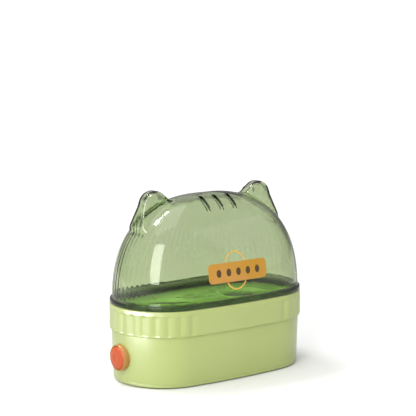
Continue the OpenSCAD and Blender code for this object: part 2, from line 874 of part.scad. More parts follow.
// A rounded ear: a wide foot that narrows to a round tip, everywhere thinner by the inset
module ear(inset) {
    translate([0, ear_y, 0]) rotate([90, 0, 0]) hull()
        for (d = ear_discs) translate([d[0], d[1], inset - d[3]])
            cylinder(r = max(d[2] - inset, 0.4), h = 2 * (d[3] - inset), $fn = 32);
}

module lid_shell() {
    difference() {
        union() {
            dome(0);
            for (s = [0, 1]) mirror([s, 0, 0]) ear(0);
        }
        dome(lid_wall);
        for (s = [0, 1]) mirror([s, 0, 0]) ear(lid_wall);
    }
}

module lid() {
    color([0.55, 0.7, 0.5, 0.5]) difference() {
        union() {
            lid_shell();
            oval_ring(lip_outer_inset, lip_inner_inset, rim_height + gap, lip_top);
            oval_ring(lid_skirt_inset, lid_skirt_inset + lid_skirt_wall,
                rim_height - lid_skirt_drop, lip_top);
        }
        for (x = [-slot_pitch, 0, slot_pitch])
            hull() for (y = [slot_back, slot_front]) translate([x, y, lid_crown])
                cylinder(r = slot_width / 2, h = 30, $fn = 24);
    }
}

// A thin skin that follows the dome's front between two offsets from it
module front_skin(half_x, low, high, inner, outer, nx = 10, nz = 6) {
    function skin_point(i, j, off) =
        let (x = -half_x + 2 * half_x * i / nx, z = low + (high - low) * j / nz)
        [x, dome_front(x, z) - off, z];
    count = (nx + 1) * (nz + 1);
    function at_index(i, j, layer) = layer * count + j * (nx + 1) + i;
    points = [for (layer = [0, 1], j = [0:nz], i = [0:nx])
        skin_point(i, j, layer == 0 ? outer : inner)];
    polyhedron(points, concat(
        [for (j = [0:nz - 1], i = [0:nx - 1])
            [at_index(i, j, 0), at_index(i, j + 1, 0), at_index(i + 1, j + 1, 0),
             at_index(i + 1, j, 0)]],
        [for (j = [0:nz - 1], i = [0:nx - 1])
            [at_index(i, j, 1), at_index(i + 1, j, 1), at_index(i + 1, j + 1, 1),
             at_index(i, j + 1, 1)]],
        [for (i = [0:nx - 1]) [at_index(i, 0, 0), at_index(i + 1, 0, 0),
            at_index(i + 1, 0, 1), at_index(i, 0, 1)]],
        [for (i = [0:nx - 1]) [at_index(i + 1, nz, 0), at_index(i, nz, 0),
            at_index(i, nz, 1), at_index(i + 1, nz, 1)]],
        [for (j = [0:nz - 1]) [at_index(0, j + 1, 0), at_index(0, j, 0),
            at_index(0, j, 1), at_index(0, j + 1, 1)]],
        [for (j = [0:nz - 1]) [at_index(nx, j, 0), at_index(nx, j + 1, 0),
            at_index(nx, j + 1, 1), at_index(nx, j, 1)]]));
}

// Anything drawn in the X-Z plane, pushed through the front of the dome
module front_print(inner, outer) {
    intersection() {
        front_skin(skin_half_x, skin_bottom, skin_top, inner, outer);
        rotate([90, 0, 0]) linear_extrude(60) children();
    }
}

module badge_outline(grow) {
    translate([0, badge_z]) {
        square([badge_length - 2 * badge_corner + 2 * grow, badge_height + 2 * grow], center = true);
        square([badge_length + 2 * grow, badge_height - 2 * badge_corner + 2 * grow], center = true);
        for (x = [-1, 1], z = [-1, 1]) translate([x * (badge_length / 2 - badge_corner),
            z * (badge_height / 2 - badge_corner)]) circle(r = badge_corner + grow, $fn = 32);
    }
}

module lid_badge() {
    color("orange") front_print(gap, badge_skin) badge_outline(0);
}

module lid_emblem() {
    color("gold") front_print(gap, emblem_skin) difference() {
        translate(emblem_place) scale([0.78, 1]) circle(r = emblem_outer, $fn = 64);
        translate(emblem_place) scale([0.75, 1]) circle(r = emblem_inner, $fn = 64);
        badge_outline(0.3);
    }
}

// ---------------------------------------------------------------- nodes

bottom_cover();
lower_housing();
fluted_collar();
rubber_feet();
cover_screws();
rating_plate();
pan_gasket();
water_pan();
pan_screws();
heat_spreader();
heating_element();
element_clips();
clip_screws();
thermostat();
thermostat_screws();
thermal_fuse();
fuse_clip();
button_bezel();
button_cap();
button_plunger();
button_spring();
switch_bracket();
switch_body();
bracket_screws();
indicator_lamp();
power_inlet();
inlet_pins();
inlet_clip();
wire_live();
wire_switched();
wire_fuse_link();
wire_neutral();
wire_terminals();
egg_tray();
lid();
lid_badge();
lid_emblem();
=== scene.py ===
import math
from contextlib import contextmanager

import bpy
import numpy as np
from bpy.props import FloatProperty, FloatVectorProperty, IntProperty, PointerProperty
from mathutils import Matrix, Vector


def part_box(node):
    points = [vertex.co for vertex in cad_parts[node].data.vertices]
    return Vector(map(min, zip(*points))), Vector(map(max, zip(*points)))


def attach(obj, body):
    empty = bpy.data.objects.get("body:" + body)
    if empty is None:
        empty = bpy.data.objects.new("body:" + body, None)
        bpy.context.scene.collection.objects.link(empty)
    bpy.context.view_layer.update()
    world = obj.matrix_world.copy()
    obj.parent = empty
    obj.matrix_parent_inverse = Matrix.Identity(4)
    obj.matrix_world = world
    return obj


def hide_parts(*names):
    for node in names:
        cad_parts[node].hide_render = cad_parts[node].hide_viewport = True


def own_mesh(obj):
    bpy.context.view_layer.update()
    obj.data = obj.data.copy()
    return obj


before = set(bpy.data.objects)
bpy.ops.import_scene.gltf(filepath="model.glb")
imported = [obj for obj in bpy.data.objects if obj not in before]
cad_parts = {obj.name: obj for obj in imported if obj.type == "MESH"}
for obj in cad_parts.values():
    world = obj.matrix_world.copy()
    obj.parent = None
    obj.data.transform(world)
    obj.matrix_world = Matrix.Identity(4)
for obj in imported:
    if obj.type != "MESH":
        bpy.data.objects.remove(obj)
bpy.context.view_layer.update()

bl_info = {
    "name": "Egg Cooker",
    "version": (1, 0, 0),
    "blender": (4, 5, 0),
    "location": "View3D > Sidebar > Egg Cooker",
    "description": "Models a two-egg steam cooker round its packed frame",
    "category": "Add Mesh",
}

MM = 0.001
COLLAR_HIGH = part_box("fluted_collar")[1]
HOUSING_LOW, HOUSING_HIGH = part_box("lower_housing")
COVER_LOW, COVER_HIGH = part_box("bottom_cover")
FEET_LOW, FEET_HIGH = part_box("rubber_feet")
PAN_LOW, PAN_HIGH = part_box("water_pan")
GASKET_LOW, GASKET_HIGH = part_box("pan_gasket")
TRAY_LOW, TRAY_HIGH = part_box("egg_tray")
LID_LOW, LID_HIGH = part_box("lid")
BADGE_LOW, BADGE_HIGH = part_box("lid_badge")
BEZEL_LOW, BEZEL_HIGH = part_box("button_bezel")
CAP_LOW, CAP_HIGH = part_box("button_cap")
SPRING_LOW, SPRING_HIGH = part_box("button_spring")
INLET_LOW, INLET_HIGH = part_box("power_inlet")

# The plan of the base is an oval of four arcs, and the collar's crests lie on it
HALF_LENGTH = COLLAR_HIGH.x
HALF_DEPTH = COLLAR_HIGH.y
BUTTON_Z = (BEZEL_LOW.z + BEZEL_HIGH.z) / 2
INLET_Z = (INLET_LOW.z + INLET_HIGH.z) / 2
SCREW_PLACES = [(sx * 44.35 * MM, sy * 21.91 * MM) for sx in (1, -1) for sy in (1, -1)]
PAN_SCREW_PLACES = [(sx * 18 * MM, sy * 24.9 * MM) for sx in (1, -1) for sy in (1, -1)]
FOOT_PLACES = [(sx * 52 * MM, sy * 10 * MM) for sx in (1, -1) for sy in (1, -1)]
BRACKET_POST_PLACES = [(-47 * MM, sy * 7 * MM) for sy in (1, -1)]
MERGE_WITHIN = 1e-5
PAST = 1 * MM       # how far a cutter stands past the face that it cuts
OVERLAP = 0.2 * MM  # how deep a fused post reaches into its plate


# ------------------------------------------------------------------ settings

def size(name, description, default):
    """A length, given in millimetres and held in metres."""
    return FloatProperty(name=name, description=description, default=default * MM, min=0.0,
                         precision=5, subtype="DISTANCE", unit="LENGTH")


def colour(name, description, default):
    """A colour in linear red, green and blue."""
    return FloatVectorProperty(name=name, description=description, default=default, size=3,
                               min=0.0, max=1.0, subtype="COLOR")


class CookerBase(bpy.types.PropertyGroup):
    """Sizes of the base that the frame doesn't give"""
    end_radius: size("End radius", "Radius of the collar's round ends", 33.3)
    wall: size("Wall", "Wall of the housing and the collar", 2.0)
    taper_low: size("Foot inset", "How far the housing's foot stands in from the collar", 2.1)
    taper_high: size("Shoulder inset", "How far the housing's top stands in from the collar", 1.3)
    flute_depth: size("Flute depth", "Depth of the grooves between the flutes", 0.75)
    flutes_end: IntProperty(name="End flutes", description="Flutes round each end", default=13, min=3)
    flutes_side: IntProperty(name="Side flutes", description="Flutes along each side", default=7, min=3)
    rim_height: size("Rim height", "Height of the collar's rim", 46.6)


class CookerTray(bpy.types.PropertyGroup):
    """Sizes of the egg tray"""
    seat_x: size("Seat place", "Distance of an egg seat from the middle", 28.0)
    seat_radius: size("Seat radius", "Radius of the hole in an egg seat", 13.0)
    plate: size("Plate", "Thickness of the tray's plate", 1.6)
    slot_width: size("Slot width", "Width of a steam slot round the seats", 2.6)


class CookerLid(bpy.types.PropertyGroup):
    """Sizes of the clear lid"""
    half_length: size("Half length", "Half of the dome's length at its foot", 63.5)
    half_depth: size("Half depth", "Half of the dome's depth at its foot", 32.6)
    wall: size("Wall", "Wall of the lid", 1.8)
    crown: size("Crown", "Height of the top of the dome", 110.1)
    blend: size("Ear blend", "Radius of the blend between an ear and the dome", 3.0)
    ripple: size("Ripple", "Depth of the soft ribs on the inside of the wall", 0.13)


class CookerButton(bpy.types.PropertyGroup):
    """Sizes of the push button"""
    cap_radius: size("Cap radius", "Radius of the button", 6.87)
    bore: size("Bore", "Radius of the hole in the bezel", 6.95)


class CookerFinishes(bpy.types.PropertyGroup):
    """Colours of the finishes"""
    body: colour("Body", "Pastel green of the base", (0.52, 0.615, 0.205))
    tray: colour("Tray", "Spring green of the egg tray", (0.40, 0.74, 0.12))
    lid: colour("Lid", "Bottle green of the clear lid", (0.90, 0.96, 0.77))
    badge: colour("Badge", "Amber of the badge", (0.62, 0.31, 0.015))
    button: colour("Button", "Orange of the button", (0.64, 0.105, 0.018))
    bezel: colour("Bezel", "Gold of the button's ring", (0.55, 0.26, 0.06))


class CookerStage(bpy.types.PropertyGroup):
    """Camera and light"""
    lens: FloatProperty(name="Lens", description="Focal length of the camera", default=125.4,
                        unit="CAMERA")
    key_power: FloatProperty(name="Key light", description="Power of the key light", default=6.2,
                             unit="POWER")


# ------------------------------------------------------------------ shared tools

def start_clean():
    """Nothing is selected before a primitive is added."""
    for other in bpy.context.selected_objects:
        other.select_set(False)


def activate(obj):
    """Makes obj the only selected object, in object mode."""
    start_clean()
    obj.select_set(True)
    bpy.context.view_layer.objects.active = obj


@contextmanager
def editing(obj, everything=True):
    """Edit mode on obj, with all of it selected or what is selected already, and back."""
    activate(obj)
    bpy.ops.object.mode_set(mode="EDIT")
    if everything:
        bpy.ops.mesh.select_all(action="SELECT")
    yield
    bpy.ops.object.mode_set(mode="OBJECT")


def close_up(obj, fill=False):
    """Merges doubles, fills open loops if asked, and turns the normals outwards."""
    with editing(obj):
        bpy.ops.mesh.remove_doubles(threshold=MERGE_WITHIN)
        bpy.ops.mesh.select_all(action="SELECT")
        if fill:
            bpy.ops.mesh.fill_holes(sides=0)
            bpy.ops.mesh.select_all(action="SELECT")
        bpy.ops.mesh.normals_make_consistent(inside=False)
    return obj


def modified(obj, kind, **settings):
    """Adds a modifier with these settings and applies it."""
    modifier = obj.modifiers.new(kind.title(), kind)
    for key, value in settings.items():
        setattr(modifier, key, value)
    activate(obj)
    bpy.ops.object.modifier_apply(modifier=modifier.name)
    return obj


def solid(name, vertices, faces):
    """A closed piece from its vertices and faces, for a shape that no primitive leads to."""
    mesh = bpy.data.meshes.new(name)
    mesh.from_pydata(vertices, [], faces)
    obj = bpy.data.objects.new(name, mesh)
    bpy.context.scene.collection.objects.link(obj)
    return close_up(obj)


def select_where(obj, domain, test):
    """Selects the vertices, edges or faces of obj whose middle passes the test, and nothing else."""
    mesh = obj.data
    for group in (mesh.vertices, mesh.edges, mesh.polygons):
        group.foreach_set("select", np.zeros(len(group), bool))
    places = [v.co for v in mesh.vertices]
    for item in getattr(mesh, domain):
        if domain == "vertices":
            middle = item.co
        elif domain == "edges":
            middle = (places[item.vertices[0]] + places[item.vertices[1]]) / 2
        else:
            middle = item.center
        item.select = bool(test(middle, item))


def rounded(corners, closed, steps=4):
    """Outline through (a, b, radius) corners given in millimetres, with a fillet at each radius."""
    points = []
    count = len(corners)
    for i, (a, b, radius) in enumerate(corners):
        here = Vector((a, b))
        if radius == 0 or (not closed and i in (0, count - 1)):
            points.append(here)
            continue
        u = (Vector(corners[i - 1][:2]) - here).normalized()
        v = (Vector(corners[(i + 1) % count][:2]) - here).normalized()
        half = u.angle(v) / 2
        if half > math.radians(89):
            points.append(here)
            continue
        centre = here + (u + v).normalized() * radius / math.sin(half)
        start = here + u * radius / math.tan(half) - centre
        finish = here + v * radius / math.tan(half) - centre
        turn = math.copysign(math.pi - 2 * half, start.x * finish.y - start.y * finish.x)
        for k in range(steps + 1):
            c, s = math.cos(turn * k / steps), math.sin(turn * k / steps)
            points.append(centre + Vector((start.x * c - start.y * s, start.x * s + start.y * c)))
    return [(p.x * MM, p.y * MM) for p in points]


def outline(name, places, closed):
    """A chain of vertices at the given places, as a circle with its vertices moved."""
    start_clean()
    bpy.ops.mesh.primitive_circle_add(vertices=len(places), radius=0.01, fill_type="NOTHING")
    obj = bpy.context.object
    obj.name = name
    for vertex, place in zip(obj.data.vertices, places):
        vertex.co = place
    if not closed:
        last = len(places) - 1
        select_where(obj, "edges", lambda middle, edge: set(edge.vertices) == {0, last})
        with editing(obj, everything=False):
            bpy.ops.mesh.select_mode(type="EDGE")
            bpy.ops.mesh.delete(type="EDGE")
            bpy.ops.mesh.select_mode(type="VERT")
    return obj


def plan_arcs(end_radius):
    """(centre x, centre y, radius, first angle, turn) of the plan's four arcs, from the +X end round."""
    reach = HALF_LENGTH - end_radius
    side = (reach ** 2 + HALF_DEPTH ** 2 - end_radius ** 2) / (2 * (HALF_DEPTH - end_radius))
    join = math.atan2(side - HALF_DEPTH, reach)
    return [
        (reach, 0, end_radius, -join, 2 * join),
        (0, HALF_DEPTH - side, side, join, math.pi - 2 * join),
        (-reach, 0, end_radius, math.pi - join, 2 * join),
        (0, side - HALF_DEPTH, side, math.pi + join, math.pi - 2 * join),
    ]


def oval_sweep(name, corners, closed=True, end_steps=52, side_steps=28, fillet_steps=4):
    """Sweeps a profile of (inset, height, fillet) corners round the base's oval plan by four spins."""
    arcs = plan_arcs(bpy.context.scene.cooker_base.end_radius)
    x, y, radius, first, turn = arcs[0]
    places = [(x + (radius - inset) * math.cos(first), y + (radius - inset) * math.sin(first), z)
              for inset, z in rounded(corners, closed, fillet_steps)]
    obj = outline(name, places, closed)
    with editing(obj):
        for (x, y, radius, first, turn), steps in zip(arcs, (end_steps, side_steps) * 2):
            bpy.ops.mesh.spin(steps=steps, angle=turn, center=(x, y, 0), axis=(0, 0, -1))
    return close_up(obj, fill=not closed)


def lathe(name, corners, closed=False, steps=64, place=(0, 0, 0), face="Z", fillet_steps=4):
    """Spins a profile of (radius, height, fillet) corners round Z, then faces it to +Z or -X."""
    obj = outline(name, [(r, 0, z) for r, z in rounded(corners, closed, fillet_steps)], closed)
    with editing(obj):
        bpy.ops.mesh.spin(steps=steps, angle=math.tau, center=(0, 0, 0), axis=(0, 0, 1))
    close_up(obj)
    obj.rotation_euler = (0, -math.pi / 2 if face == "-X" else 0, 0)
    obj.location = place
    return settle(obj)


def settle(obj):
    """Puts the object's place, turn and scale into its mesh."""
    activate(obj)
    bpy.ops.object.transform_apply(location=True, rotation=True, scale=True)
    return obj


def cylinder(radius, low, high, steps=48, place=(0, 0), axis="Z"):
    """A cutter or post from low to high along Z, or along X at a height place[1]."""
    start_clean()
    middle = (low + high) / 2
    if axis == "Z":
        where, turn = (place[0], place[1], middle), (0, 0, 0)
    else:
        where, turn = (middle, place[0], place[1]), (0, math.pi / 2, 0)
    bpy.ops.mesh.primitive_cylinder_add(vertices=steps, radius=radius, depth=high - low,
                                        location=where, rotation=turn)
    return settle(bpy.context.object)


def block(low, high):
    """A box between two corners, to be cut, joined or bevelled."""
    start_clean()
    middle = [(a + b) / 2 for a, b in zip(low, high)]
    bpy.ops.mesh.primitive_cube_add(size=1, location=middle, scale=[b - a for a, b in zip(low, high)])
    return settle(bpy.context.object)


def stretched(obj, vector, test):
    """Moves the vertices that pass the test by the vector, which makes a slot of a cylinder."""
    select_where(obj, "vertices", lambda place, vertex: test(place))
    with editing(obj, everything=False):
        bpy.ops.transform.translate(value=vector)
    return obj


def cylinders(places, *sizes, **settings):
    """One cylinder of the same sizes at each place."""
    return [cylinder(*sizes, place=place, **settings) for place in places]


def slot_cutter(width, length, low, high, place, angle=0.0):
    """A prism with round ends, length from centre to centre, that stands along Z."""
    obj = cylinder(width / 2, low, high, steps=24)
    for side in (1, -1):
        stretched(obj, (side * length / 2, 0, 0), lambda p: side * p.x > 1e-6)
    obj.rotation_euler = (0, 0, angle)
    obj.location = (place[0], place[1], 0)
    return settle(obj)


def combine(obj, others, operation):
    """Cuts the others out of obj, or adds them to it, and removes them."""
    tool = joined("tool", others)
    modified(obj, "BOOLEAN", operation=operation, object=tool, solver="MANIFOLD")
    bpy.data.objects.remove(tool, do_unlink=True)
    return obj


def cut(obj, *cutters):
    """Takes the cutters out of obj."""
    return combine(obj, cutters, "DIFFERENCE")


def fuse(obj, *parts):
    """Adds the parts to obj."""
    return combine(obj, parts, "UNION")


def soften(obj, width, segments=2, angle=40):
    """Rounds the edges that are sharper than the angle."""
    return modified(obj, "BEVEL", width=width, segments=segments, limit_method="ANGLE",
                    angle_limit=math.radians(angle), use_clamp_overlap=True)


def joined(name, objects):
    """Joins separate solids to one piece."""
    activate(objects[0])
    for obj in objects:
        obj.select_set(True)
    if len(objects) > 1:
        bpy.ops.object.join()
    objects[0].name = name
    return objects[0]


def tube(name, points, radius, sides):
    """A round rod along the points, with flat ends."""
    points = [Vector(p) for p in points]
    count = len(points)
    rings = []
    side = None
    for i, p in enumerate(points):
        before = points[max(i - 1, 0)]
        after = points[min(i + 1, count - 1)]
        along = (after - before).normalized()
        if side is None:
            side = along.orthogonal().normalized()
        side = (side - along * side.dot(along)).normalized()
        other = along.cross(side)
        for k in range(sides):
            a = math.tau * k / sides
            rings.append(p + side * radius * math.cos(a) + other * radius * math.sin(a))
    faces = [(i * sides + k, i * sides + (k + 1) % sides, (i + 1) * sides + (k + 1) % sides,
              (i + 1) * sides + k) for i in range(count - 1) for k in range(sides)]
    faces.append(tuple(range(sides))[::-1])
    faces.append(tuple(range((count - 1) * sides, count * sides)))
    return solid(name, rings, faces)


def check_closed(obj):
    """Raises an error if an edge of obj doesn't join exactly two faces."""
    mesh = obj.data
    use = np.zeros(len(mesh.edges), int)
    edges = np.zeros(len(mesh.loops), int)
    mesh.loops.foreach_get("edge_index", edges)
    np.add.at(use, edges, 1)
    if len(use) and (use != 2).any():
        raise RuntimeError(f"{obj.name} isn't closed: {(use != 2).sum()} edges")


def finish_piece(obj, node, body, smooth=35):
    """Names, shades and paints the piece that stands for a CAD node, and ties it to its body."""
    obj.name = node + "_shape"
    activate(obj)
    bpy.ops.object.shade_smooth_by_angle(angle=math.radians(smooth))
    check_closed(obj)
    paint(obj, FINISHES[node])
    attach(obj, body)
    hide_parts(node)
    return obj


def paint(obj, material):
    """Makes the material the only one of the piece."""
    obj.data.materials.clear()
    obj.data.materials.append(bpy.data.materials[material])


# ------------------------------------------------------------------ finishes

def feed(tree, node, **inputs):
    """Sets a node's inputs to values or other sockets, by name, or by number as i0, i1 and so on."""
    for key, value in inputs.items():
        numbered = key[0] == "i" and key[1:].isdigit()
        socket = node.inputs[int(key[1:]) if numbered else key.replace("_", " ")]
        if isinstance(value, bpy.types.NodeSocket):
            tree.links.new(value, socket)
        else:
            socket.default_value = value
    return node


def put(tree, kind, settings=None, **inputs):
    """Adds a shader node with its properties and its inputs."""
    node = tree.nodes.new("ShaderNode" + kind)
    for key, value in (settings or {}).items():
        setattr(node, key, value)
    return feed(tree, node, **inputs)


def put_group(tree, name, vector, **inputs):
    """Places a node group in a material."""
    return put(tree, "Group", {"node_tree": bpy.data.node_groups[name]}, Vector=vector, **inputs)


def maths(tree, operation, *values):
    """A Math node."""
    return put(tree, "Math", {"operation": operation},
               **{f"i{k}": value for k, value in enumerate(values)}).outputs[0]


def plus(tree, a, b):
    """Math: a + b."""
    return maths(tree, "ADD", a, b)


def minus(tree, a, b):
    """Math: a - b."""
    return maths(tree, "SUBTRACT", a, b)


def times(tree, a, b):
    """Math: a * b."""
    return maths(tree, "MULTIPLY", a, b)


def noise(tree, vector, scale, detail, roughness=0.5):
    """A noise from 0 to 1; a scale of three numbers stretches it along the axes."""
    if isinstance(scale, tuple):
        vector, scale = put(tree, "Mapping", i0=vector, Scale=scale).outputs[0], 1.0
    return put(tree, "TexNoise", Vector=vector, Scale=scale, Detail=detail,
               Roughness=roughness).outputs["Fac"]


def faded(tree, value, zero, one, full=1.0):
    """A soft step, from 0 where the value is zero to full where it is one."""
    return put(tree, "MapRange", {"interpolation_type": "SMOOTHSTEP"}, Value=value, From_Min=zero,
               From_Max=one, To_Min=0.0, To_Max=full).outputs[0]


def mixed(tree, share, first, second):
    """The first colour where the share is 0, and the second where it is 1."""
    return put(tree, "Mix", {"data_type": "RGBA"}, i0=share, i6=first, i7=second).outputs[2]


def shifted(tree, colour, value, **inputs):
    """A colour made lighter or darker, and perhaps of another hue or saturation."""
    return put(tree, "HueSaturation", Color=colour, Value=value, **inputs).outputs[0]


def new_group(name, inputs, outputs):
    """An empty shader node group with named sockets, and its input and output nodes."""
    group = bpy.data.node_groups.new(name, "ShaderNodeTree")
    for socket, kind, default in inputs:
        item = group.interface.new_socket(socket, in_out="INPUT", socket_type="NodeSocket" + kind)
        if default is not None:
            item.default_value = default
    for socket, kind in outputs:
        group.interface.new_socket(socket, in_out="OUTPUT", socket_type="NodeSocket" + kind)
    return group, group.nodes.new("NodeGroupInput"), group.nodes.new("NodeGroupOutput")


def build_moulded_skin():
    """Moulded plastic: slow colour drift, faint gloss patches and a fine orange-peel surface."""
    group, given, out = new_group(
        "Moulded skin",
        [("Vector", "Vector", None), ("Colour", "Color", (0.5, 0.5, 0.5, 1)), ("Drift", "Float", 0.06),
         ("Gloss", "Float", 0.25), ("Patches", "Float", 0.06), ("Grain size", "Float", 0.0012)],
        [("Colour", "Color"), ("Roughness", "Float"), ("Height", "Float")])
    vector, tint, drift, gloss, patches, grain = given.outputs[:6]
    broad = noise(group, vector, 22.0, 3.0, 0.55)
    patch = noise(group, vector, 140.0, 4.0, 0.6)
    fine = maths(group, "DIVIDE", 1.0, grain)
    peel = noise(group, vector, fine, 2.0, 0.45)
    pores = put(group, "TexVoronoi", {"feature": "SMOOTH_F1"}, Vector=vector,
                Scale=times(group, fine, 2.2)).outputs["Distance"]
    swing = times(group, minus(group, broad, 0.5), drift)
    fade = shifted(group, tint, minus(group, 1.0, swing),
                   Hue=maths(group, "MULTIPLY_ADD", swing, 0.12, 0.5),
                   Saturation=plus(group, 1.0, swing))
    rough = maths(group, "MULTIPLY_ADD", minus(group, patch, 0.5), patches, gloss)
    height = plus(group, times(group, peel, 0.75), times(group, pores, 0.25))
    feed(group, out, Colour=fade, Roughness=maths(group, "MAXIMUM", rough, 0.02), Height=height)


def build_hairlines():
    """Fine handling scratches in two crossing directions, as a mask."""
    group, given, out = new_group(
        "Hairlines", [("Vector", "Vector", None), ("Amount", "Float", 0.5)], [("Mask", "Float")])
    marks = []
    for turn, stretch in ((0.4, (60, 5200, 260)), (1.9, (4600, 50, 900))):
        turned = put(group, "Mapping", i0=given.outputs["Vector"], Rotation=(turn, 0.3, turn),
                     Scale=stretch).outputs[0]
        marks.append(faded(group, noise(group, turned, 1.0, 1.0), 0.66, 0.78))
    both = maths(group, "MAXIMUM", *marks)
    feed(group, out, Mask=times(group, both, given.outputs["Amount"]))


def build_brushed_metal():
    """Drawn or brushed metal: long streaks in colour, gloss and height, with small stains."""
    group, given, out = new_group(
        "Brushed metal",
        [("Vector", "Vector", None), ("Colour", "Color", (0.6, 0.6, 0.6, 1)), ("Gloss", "Float", 0.25),
         ("Stain", "Float", 0.15)],
        [("Colour", "Color"), ("Roughness", "Float"), ("Height", "Float")])
    vector, tint, gloss, stain = given.outputs[:4]
    streak = noise(group, vector, (60, 3000, 3000), 4.0, 0.6)
    spots = noise(group, vector, 180.0, 5.0, 0.65)
    level = times(group, minus(group, spots, 0.5), stain)
    value = plus(group, 1.0, minus(group, times(group, streak, 0.12), level))
    rough = plus(group, gloss, maths(group, "MULTIPLY_ADD", streak, 0.14, level))
    feed(group, out, Colour=shifted(group, tint, value), Height=streak,
         Roughness=maths(group, "MAXIMUM", rough, 0.05))


def new_material(name):
    """An empty material with object coordinates, a Principled shader and an output."""
    material = bpy.data.materials.new(name)
    material.use_nodes = True
    tree = material.node_tree
    tree.nodes.clear()
    place = put(tree, "TexCoord").outputs["Object"]
    shader = put(tree, "BsdfPrincipled")
    put(tree, "OutputMaterial", Surface=shader.outputs[0])
    return tree, place, shader


def bump(tree, height, depth):
    """Turns a height from 0 to 1 into a normal, where 1 stands for the depth in metres."""
    return put(tree, "Bump", Strength=1.0, Distance=depth, Height=height).outputs[0]


def moulded(name, tint, gloss=0.25, patches=0.06, drift=0.06, grain=0.0012, depth=0.00002, coat=0.0,
            hairlines=0.02, soft=0.0):
    """A moulded plastic or rubber finish."""
    tree, place, shader = new_material(name)
    skin = put_group(tree, "Moulded skin", place, Colour=(*tint, 1), Drift=drift, Gloss=gloss,
                     Patches=patches, Grain_size=grain)
    colour, rough, height = skin.outputs
    marks = put_group(tree, "Hairlines", place, Amount=hairlines).outputs["Mask"]
    feed(tree, shader, Base_Color=colour, Roughness=plus(tree, rough, marks),
         Normal=bump(tree, height, depth), Coat_Weight=coat, Coat_Roughness=0.3,
         Subsurface_Weight=soft, Subsurface_Radius=(0.6, 0.8, 0.3), Subsurface_Scale=0.002)
    return tree, place, shader, colour


def metal(name, tint, gloss=0.25, stain=0.15, depth=0.000006):
    """A drawn, brushed or plated metal finish."""
    tree, place, shader = new_material(name)
    sheet = put_group(tree, "Brushed metal", place, Colour=(*tint, 1), Gloss=gloss, Stain=stain)
    colour, rough, height = sheet.outputs
    marks = put_group(tree, "Hairlines", place, Amount=0.08).outputs["Mask"]
    feed(tree, shader, Base_Color=colour, Roughness=plus(tree, rough, marks), Metallic=1.0,
         Normal=bump(tree, height, depth))


def clear_lid(tint):
    """Clear green plastic: the tint is in the surface and its depth; painted shade darkens the lip and the
    rims beside the three steam slots.
    """
    tree, place, shader = new_material("Clear bottle green")
    x, y, z = put(tree, "SeparateXYZ", i0=place).outputs
    marks = put_group(tree, "Hairlines", place, Amount=0.03).outputs["Mask"]
    haze = times(tree, noise(tree, place, 160.0, 3.0), 0.03)
    ripple = noise(tree, place, (160, 160, 24), 2.0, 0.4)
    # painted shade on the lip: the colour goes dark below the lip's top fillet, all round
    lip = faded(tree, z, 50.4 * MM, 49.2 * MM)
    # painted shade beside the steam slots: dark rims either side of each slot on the crown
    beside = maths(tree, "LESS_THAN", maths(tree, "PINGPONG", x, SLOT_PITCH / 2 * MM), 1.55 * MM)
    inside = maths(tree, "LESS_THAN", maths(tree, "ABSOLUTE", x), 1.2 * SLOT_PITCH * MM)
    along = maths(tree, "LESS_THAN", maths(tree, "ABSOLUTE", plus(tree, y, 10.4 * MM)), 4.6 * MM)
    crown = maths(tree, "GREATER_THAN", z, 95 * MM)
    slots = times(tree, times(tree, beside, inside),
                 times(tree, along, crown))
    # painted shade mask for the lip and the slot rims, not a deeper tint of the plastic
    thick = maths(tree, "MAXIMUM", times(tree, lip, 0.8), times(tree, slots, 0.95))
    shade = shifted(tree, (*tint, 1), plus(tree, 0.985, haze))
    # the dark green mixed in by that mask is painted shade
    feed(tree, shader, Base_Color=mixed(tree, thick, shade, (0.035, 0.08, 0.008, 1)),
         Roughness=plus(tree, haze, marks), Transmission_Weight=1.0, IOR=1.49,
         Normal=bump(tree, ripple, 0.00008))
    depth = put(tree, "VolumeAbsorption", Color=(0.48, 0.60, 0.23, 1), Density=100.0)
    feed(tree, tree.nodes["Material Output"], Volume=depth.outputs[0])


def printed_badge(tint):
    """Amber print with a row of small dark ovals."""
    tree, place, shader, skin = moulded("Amber print", tint, gloss=0.34, drift=0.5, coat=0.1,
                                        grain=0.0006, hairlines=0.05)
    x, _, z = put(tree, "SeparateXYZ", i0=place).outputs
    pitch = 7.2 * MM
    along = maths(tree, "ABSOLUTE", maths(tree, "PINGPONG", x, pitch / 2))
    wide = maths(tree, "POWER", maths(tree, "DIVIDE", along, 1.7 * MM), 2.0)
    rise = minus(tree, z, (BADGE_LOW.z + BADGE_HIGH.z) / 2)
    tall = maths(tree, "POWER", maths(tree, "ABSOLUTE", maths(tree, "DIVIDE", rise, 2.3 * MM)), 2.0)
    inside = maths(tree, "LESS_THAN", plus(tree, wide, tall), 1.0)
    reach = maths(tree, "LESS_THAN", maths(tree, "ABSOLUTE", x), 2.5 * pitch)
    mask = times(tree, inside, reach)
    feed(tree, shader, Base_Color=mixed(tree, mask, skin, (0.10, 0.055, 0.02, 1)))


